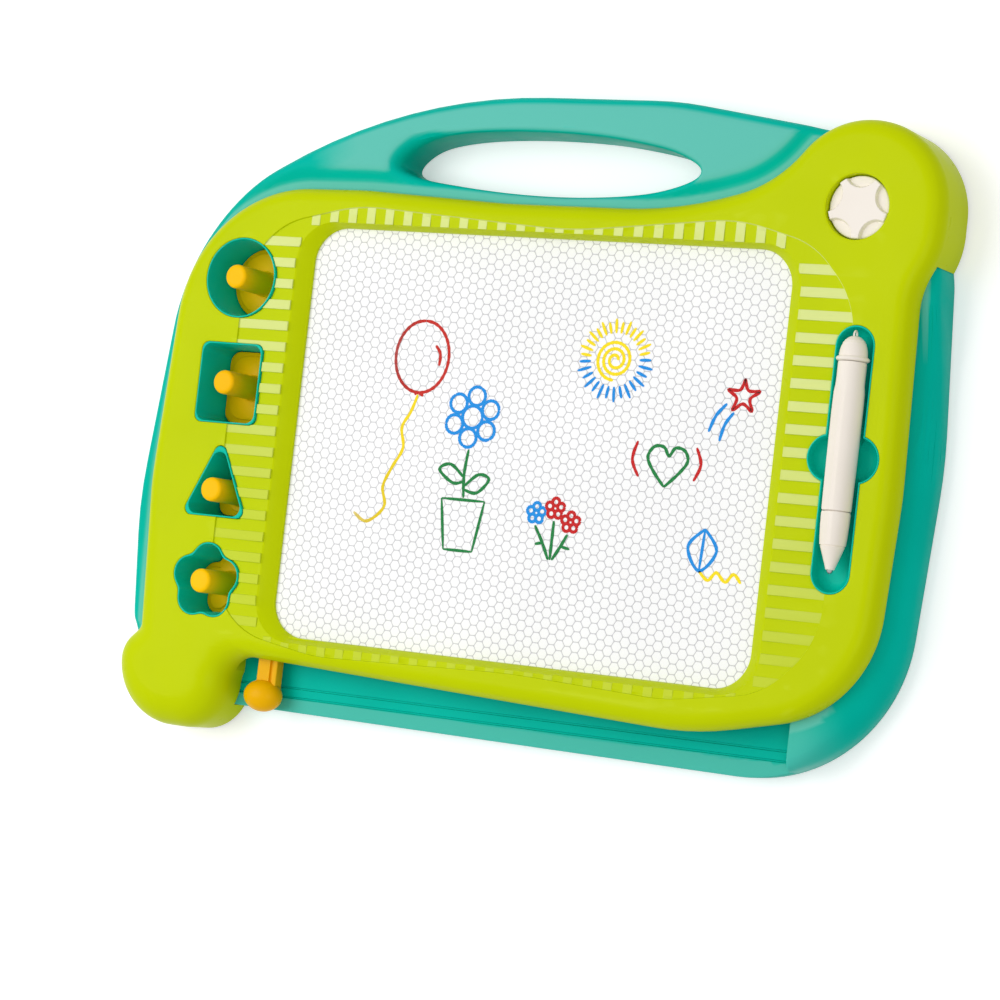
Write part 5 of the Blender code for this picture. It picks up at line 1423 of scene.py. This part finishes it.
def make_drawings():
    red = powder("red_powder", "D40808", "BC0000")
    blue = powder("blue_powder", "0098EC", "0088DC")
    green = powder("green_powder", "088A40", "007434")
    yellow = powder("yellow_powder", "FFEC00", "F8DA00")
    faded_red = powder("faded_red_powder", "D02818", "C02010", (-0.083, -0.055))
    faded_yellow = powder("faded_yellow_powder", "FCE600", "F4D400", (-0.09, -0.06))

    # A balloon on a string, half wiped away
    knot = [(-65, 23), (-63, 24), (-60, 22.5)]
    drawing("balloon", faded_red, oval(-63, 42, 15, 18, math.pi / 2), knot, [(-56, 48), (-53, 44), (-53, 38)])
    string = [(-63, 23), (-66, 14), (-70, 6), (-68, -4), (-73, -14), (-77, -24)]
    drawing("string", faded_yellow, string + [(-75, -34), (-84, -42), (-92, -38)])
    # A potted flower
    drawing("bloom", blue, oval(-31, 14, 5.5, 5.5), *petals(-31, 14, 6, 10.5, 0.4, 4.6, 12, 1))
    leaves = [
        [(-32, -16), (-40, -10), (-46, -13), (-38, -19), (-32, -18)],
        [(-31, -20), (-24, -14), (-18, -16), (-24, -23), (-31, -22)],
    ]
    left, right, left_foot, right_foot = (-43, -27), (-19, -27), (-39, -52), (-23, -52)
    pot = [[left, right], [left, left_foot], [right, right_foot], [left_foot, right_foot]]
    drawing("stem", green, [(-31, -2), (-32, -14), (-31, -26)], *leaves, *pot)
    # A sun of rings and rays
    drawing("sun", yellow, spiral(43, 47, 1.5, 10, 2.75), *rays(43, 47, 13, 20, 0.25, math.pi - 0.1))
    drawing("sun_rays", blue, *rays(43, 47, 13, 20.5, math.pi + 0.1, math.tau + 0.05))
    # A star, a heart and a kite on the right
    drawing("star", red, star(112, 34, 8.5, 3.6))
    drawing("star_tail", blue, [(104, 30), (99, 24), (96, 16)], [(108, 26), (104, 20), (102, 12)])
    heart = [(76, -12), (69, -4), (66, 2), (69, 7), (74, 7), (77, 3), (80, 7), (85, 6), (87, 1)]
    drawing("heart", green, heart + [(83, -5), (76, -12)])
    drawing("heart_line", red, [(62, -8), (58, 0), (60, 9)], [(91, 8), (94, 0), (91, -8)])
    drawing("kite", blue, [(100, -30), (92, -39), (99, -50), (107, -40), (100, -30)], [(100, -30), (99, -50)])
    drawing("kite_tail", yellow, [(99, -50), (104, -54), (108, -50), (113, -54), (117, -50), (121, -54)])
    # Three flowers
    for number, (x, y, material) in enumerate(((10, -30, blue), (20, -27, red), (29, -33, red)), 1):
        drawing(f"flower_{number}", material, *petals(x, y, 5, 3.2, 0.3, 1.9, 9))
    left, middle, right = (15, -44), (20, -42), (25, -45)
    stems = [[(10, -36), left, (19, -52)], [(20, -33), middle, (20, -52)], [(28, -39), right, (21, -52)]]
    drawing("flower_stems", green, *stems, [left, (11, -45)], [right, (30, -46)])


# Camera, light and stage

LAMP_AIM = Vector((0, 0, 0.03))
FLOOR_REACH = 6
FLOOR_DROP = 0.0005


def make_camera():
    camera = link("camera", bpy.data.cameras.new("camera"))
    right = Vector((0.8813, 0.1138, -0.4587))
    up = Vector((-0.0825, 0.9927, 0.0878))
    back = right.cross(up).normalized()
    up = back.cross(right).normalized()
    turn = Matrix((right.normalized(), up, back)).transposed().to_4x4()
    camera.matrix_world = Matrix.Translation((0.72474, -0.09635, 1.4081)) @ turn
    camera.data.lens = 115.2
    camera.data.sensor_width = 36
    camera.data.clip_start = 0.05
    camera.data.clip_end = 50
    bpy.context.scene.camera = camera


def make_lamp(name, place, size, radiance):
    lamp = bpy.data.lights.new(name, "AREA")
    lamp.shape = "SQUARE"
    lamp.size = size
    lamp.energy = math.pi * size * size * radiance
    made = link(name, lamp)
    made.location = place
    made.rotation_euler = (LAMP_AIM - Vector(place)).to_track_quat("-Z", "Y").to_euler()


def background_rays(nodes):
    """1 for the rays that show the background: camera, glossy and transmission rays."""
    path = nodes.add("ShaderNodeLightPath").outputs
    value = path["Is Camera Ray"]
    for kind in ("Is Glossy Ray", "Is Transmission Ray"):
        value = nodes.math("MAXIMUM", value, path[kind])
    return value


def make_stage():
    reach = FLOOR_REACH
    mesh = bpy.data.meshes.new("floor")
    corners = [(-reach, -reach, 0), (reach, -reach, 0), (reach, reach, 0), (-reach, reach, 0)]
    mesh.from_pydata(corners, [], [(0, 1, 2, 3)])

    def pale(nodes):
        far = nodes.add("ShaderNodeVectorMath", {0: nodes.place()}, operation="LENGTH").outputs["Value"]
        strength = nodes.math("MULTIPLY", background_rays(nodes), nodes.span(far, 0.5, 3, 0.35, 0.62))
        glow = nodes.add("ShaderNodeEmission", {"Color": (1, 1, 1, 1), "Strength": strength})
        shader = nodes.nodes["Principled BSDF"]
        both = nodes.add("ShaderNodeAddShader", {0: shader.outputs[0], 1: glow.outputs[0]})
        nodes.put(nodes.nodes["Material Output"].inputs["Surface"], both.outputs[0])
        return {"Base Color": (0.86, 0.86, 0.86, 1), "Roughness": 0.9, "Specular IOR Level": 0.1}

    mesh.materials.append(finish("pale_floor", pale))
    floor = link("floor", mesh)
    floor.location.z = -FLOOR_DROP


def make_light():
    world = bpy.context.scene.world or bpy.data.worlds.new("world")
    bpy.context.scene.world = world
    nodes = Nodes(world)
    strength = nodes.span(background_rays(nodes), 0, 1, 0.55, 1)
    nodes.put_all(nodes.nodes["Background"], {"Color": (1, 1, 1, 1), "Strength": strength})
    make_lamp("softbox", (-1.0, 0.16, 1.72), 1.45, 3.0)
    make_lamp("fill", (1.1, -0.25, 1.9), 0.9, 2.4)


# Carried-over CAD nodes


def dress(material, *nodes):
    for name in nodes:
        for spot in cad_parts[name].material_slots:
            spot.material = material


def main():
    make_camera()
    make_light()
    make_stage()
    make_shell()
    make_frame()
    for name, outline in WELLS.items():
        make_well(name, outline)
        make_stamp(name, outline)
    make_tray()
    make_pen()
    make_dial()
    make_slider()
    make_screen()
    make_drawings()
    screws = [f"shell_screw_{number}" for number in range(1, 9)]
    dress(STEEL, *screws, "dial_washer", "dial_screw", "slider_screw")
    dress(FERRITE, *(f"{name}_stamp_magnet" for name in WELLS), "pen_magnet", "eraser_magnet")
    dress(GREY, "eraser_bar")
    dress(BACK_FILM, "backing_film")
    dress(FILM, "clear_cover")
    bpy.context.scene.view_settings.view_transform = "Standard"


main()
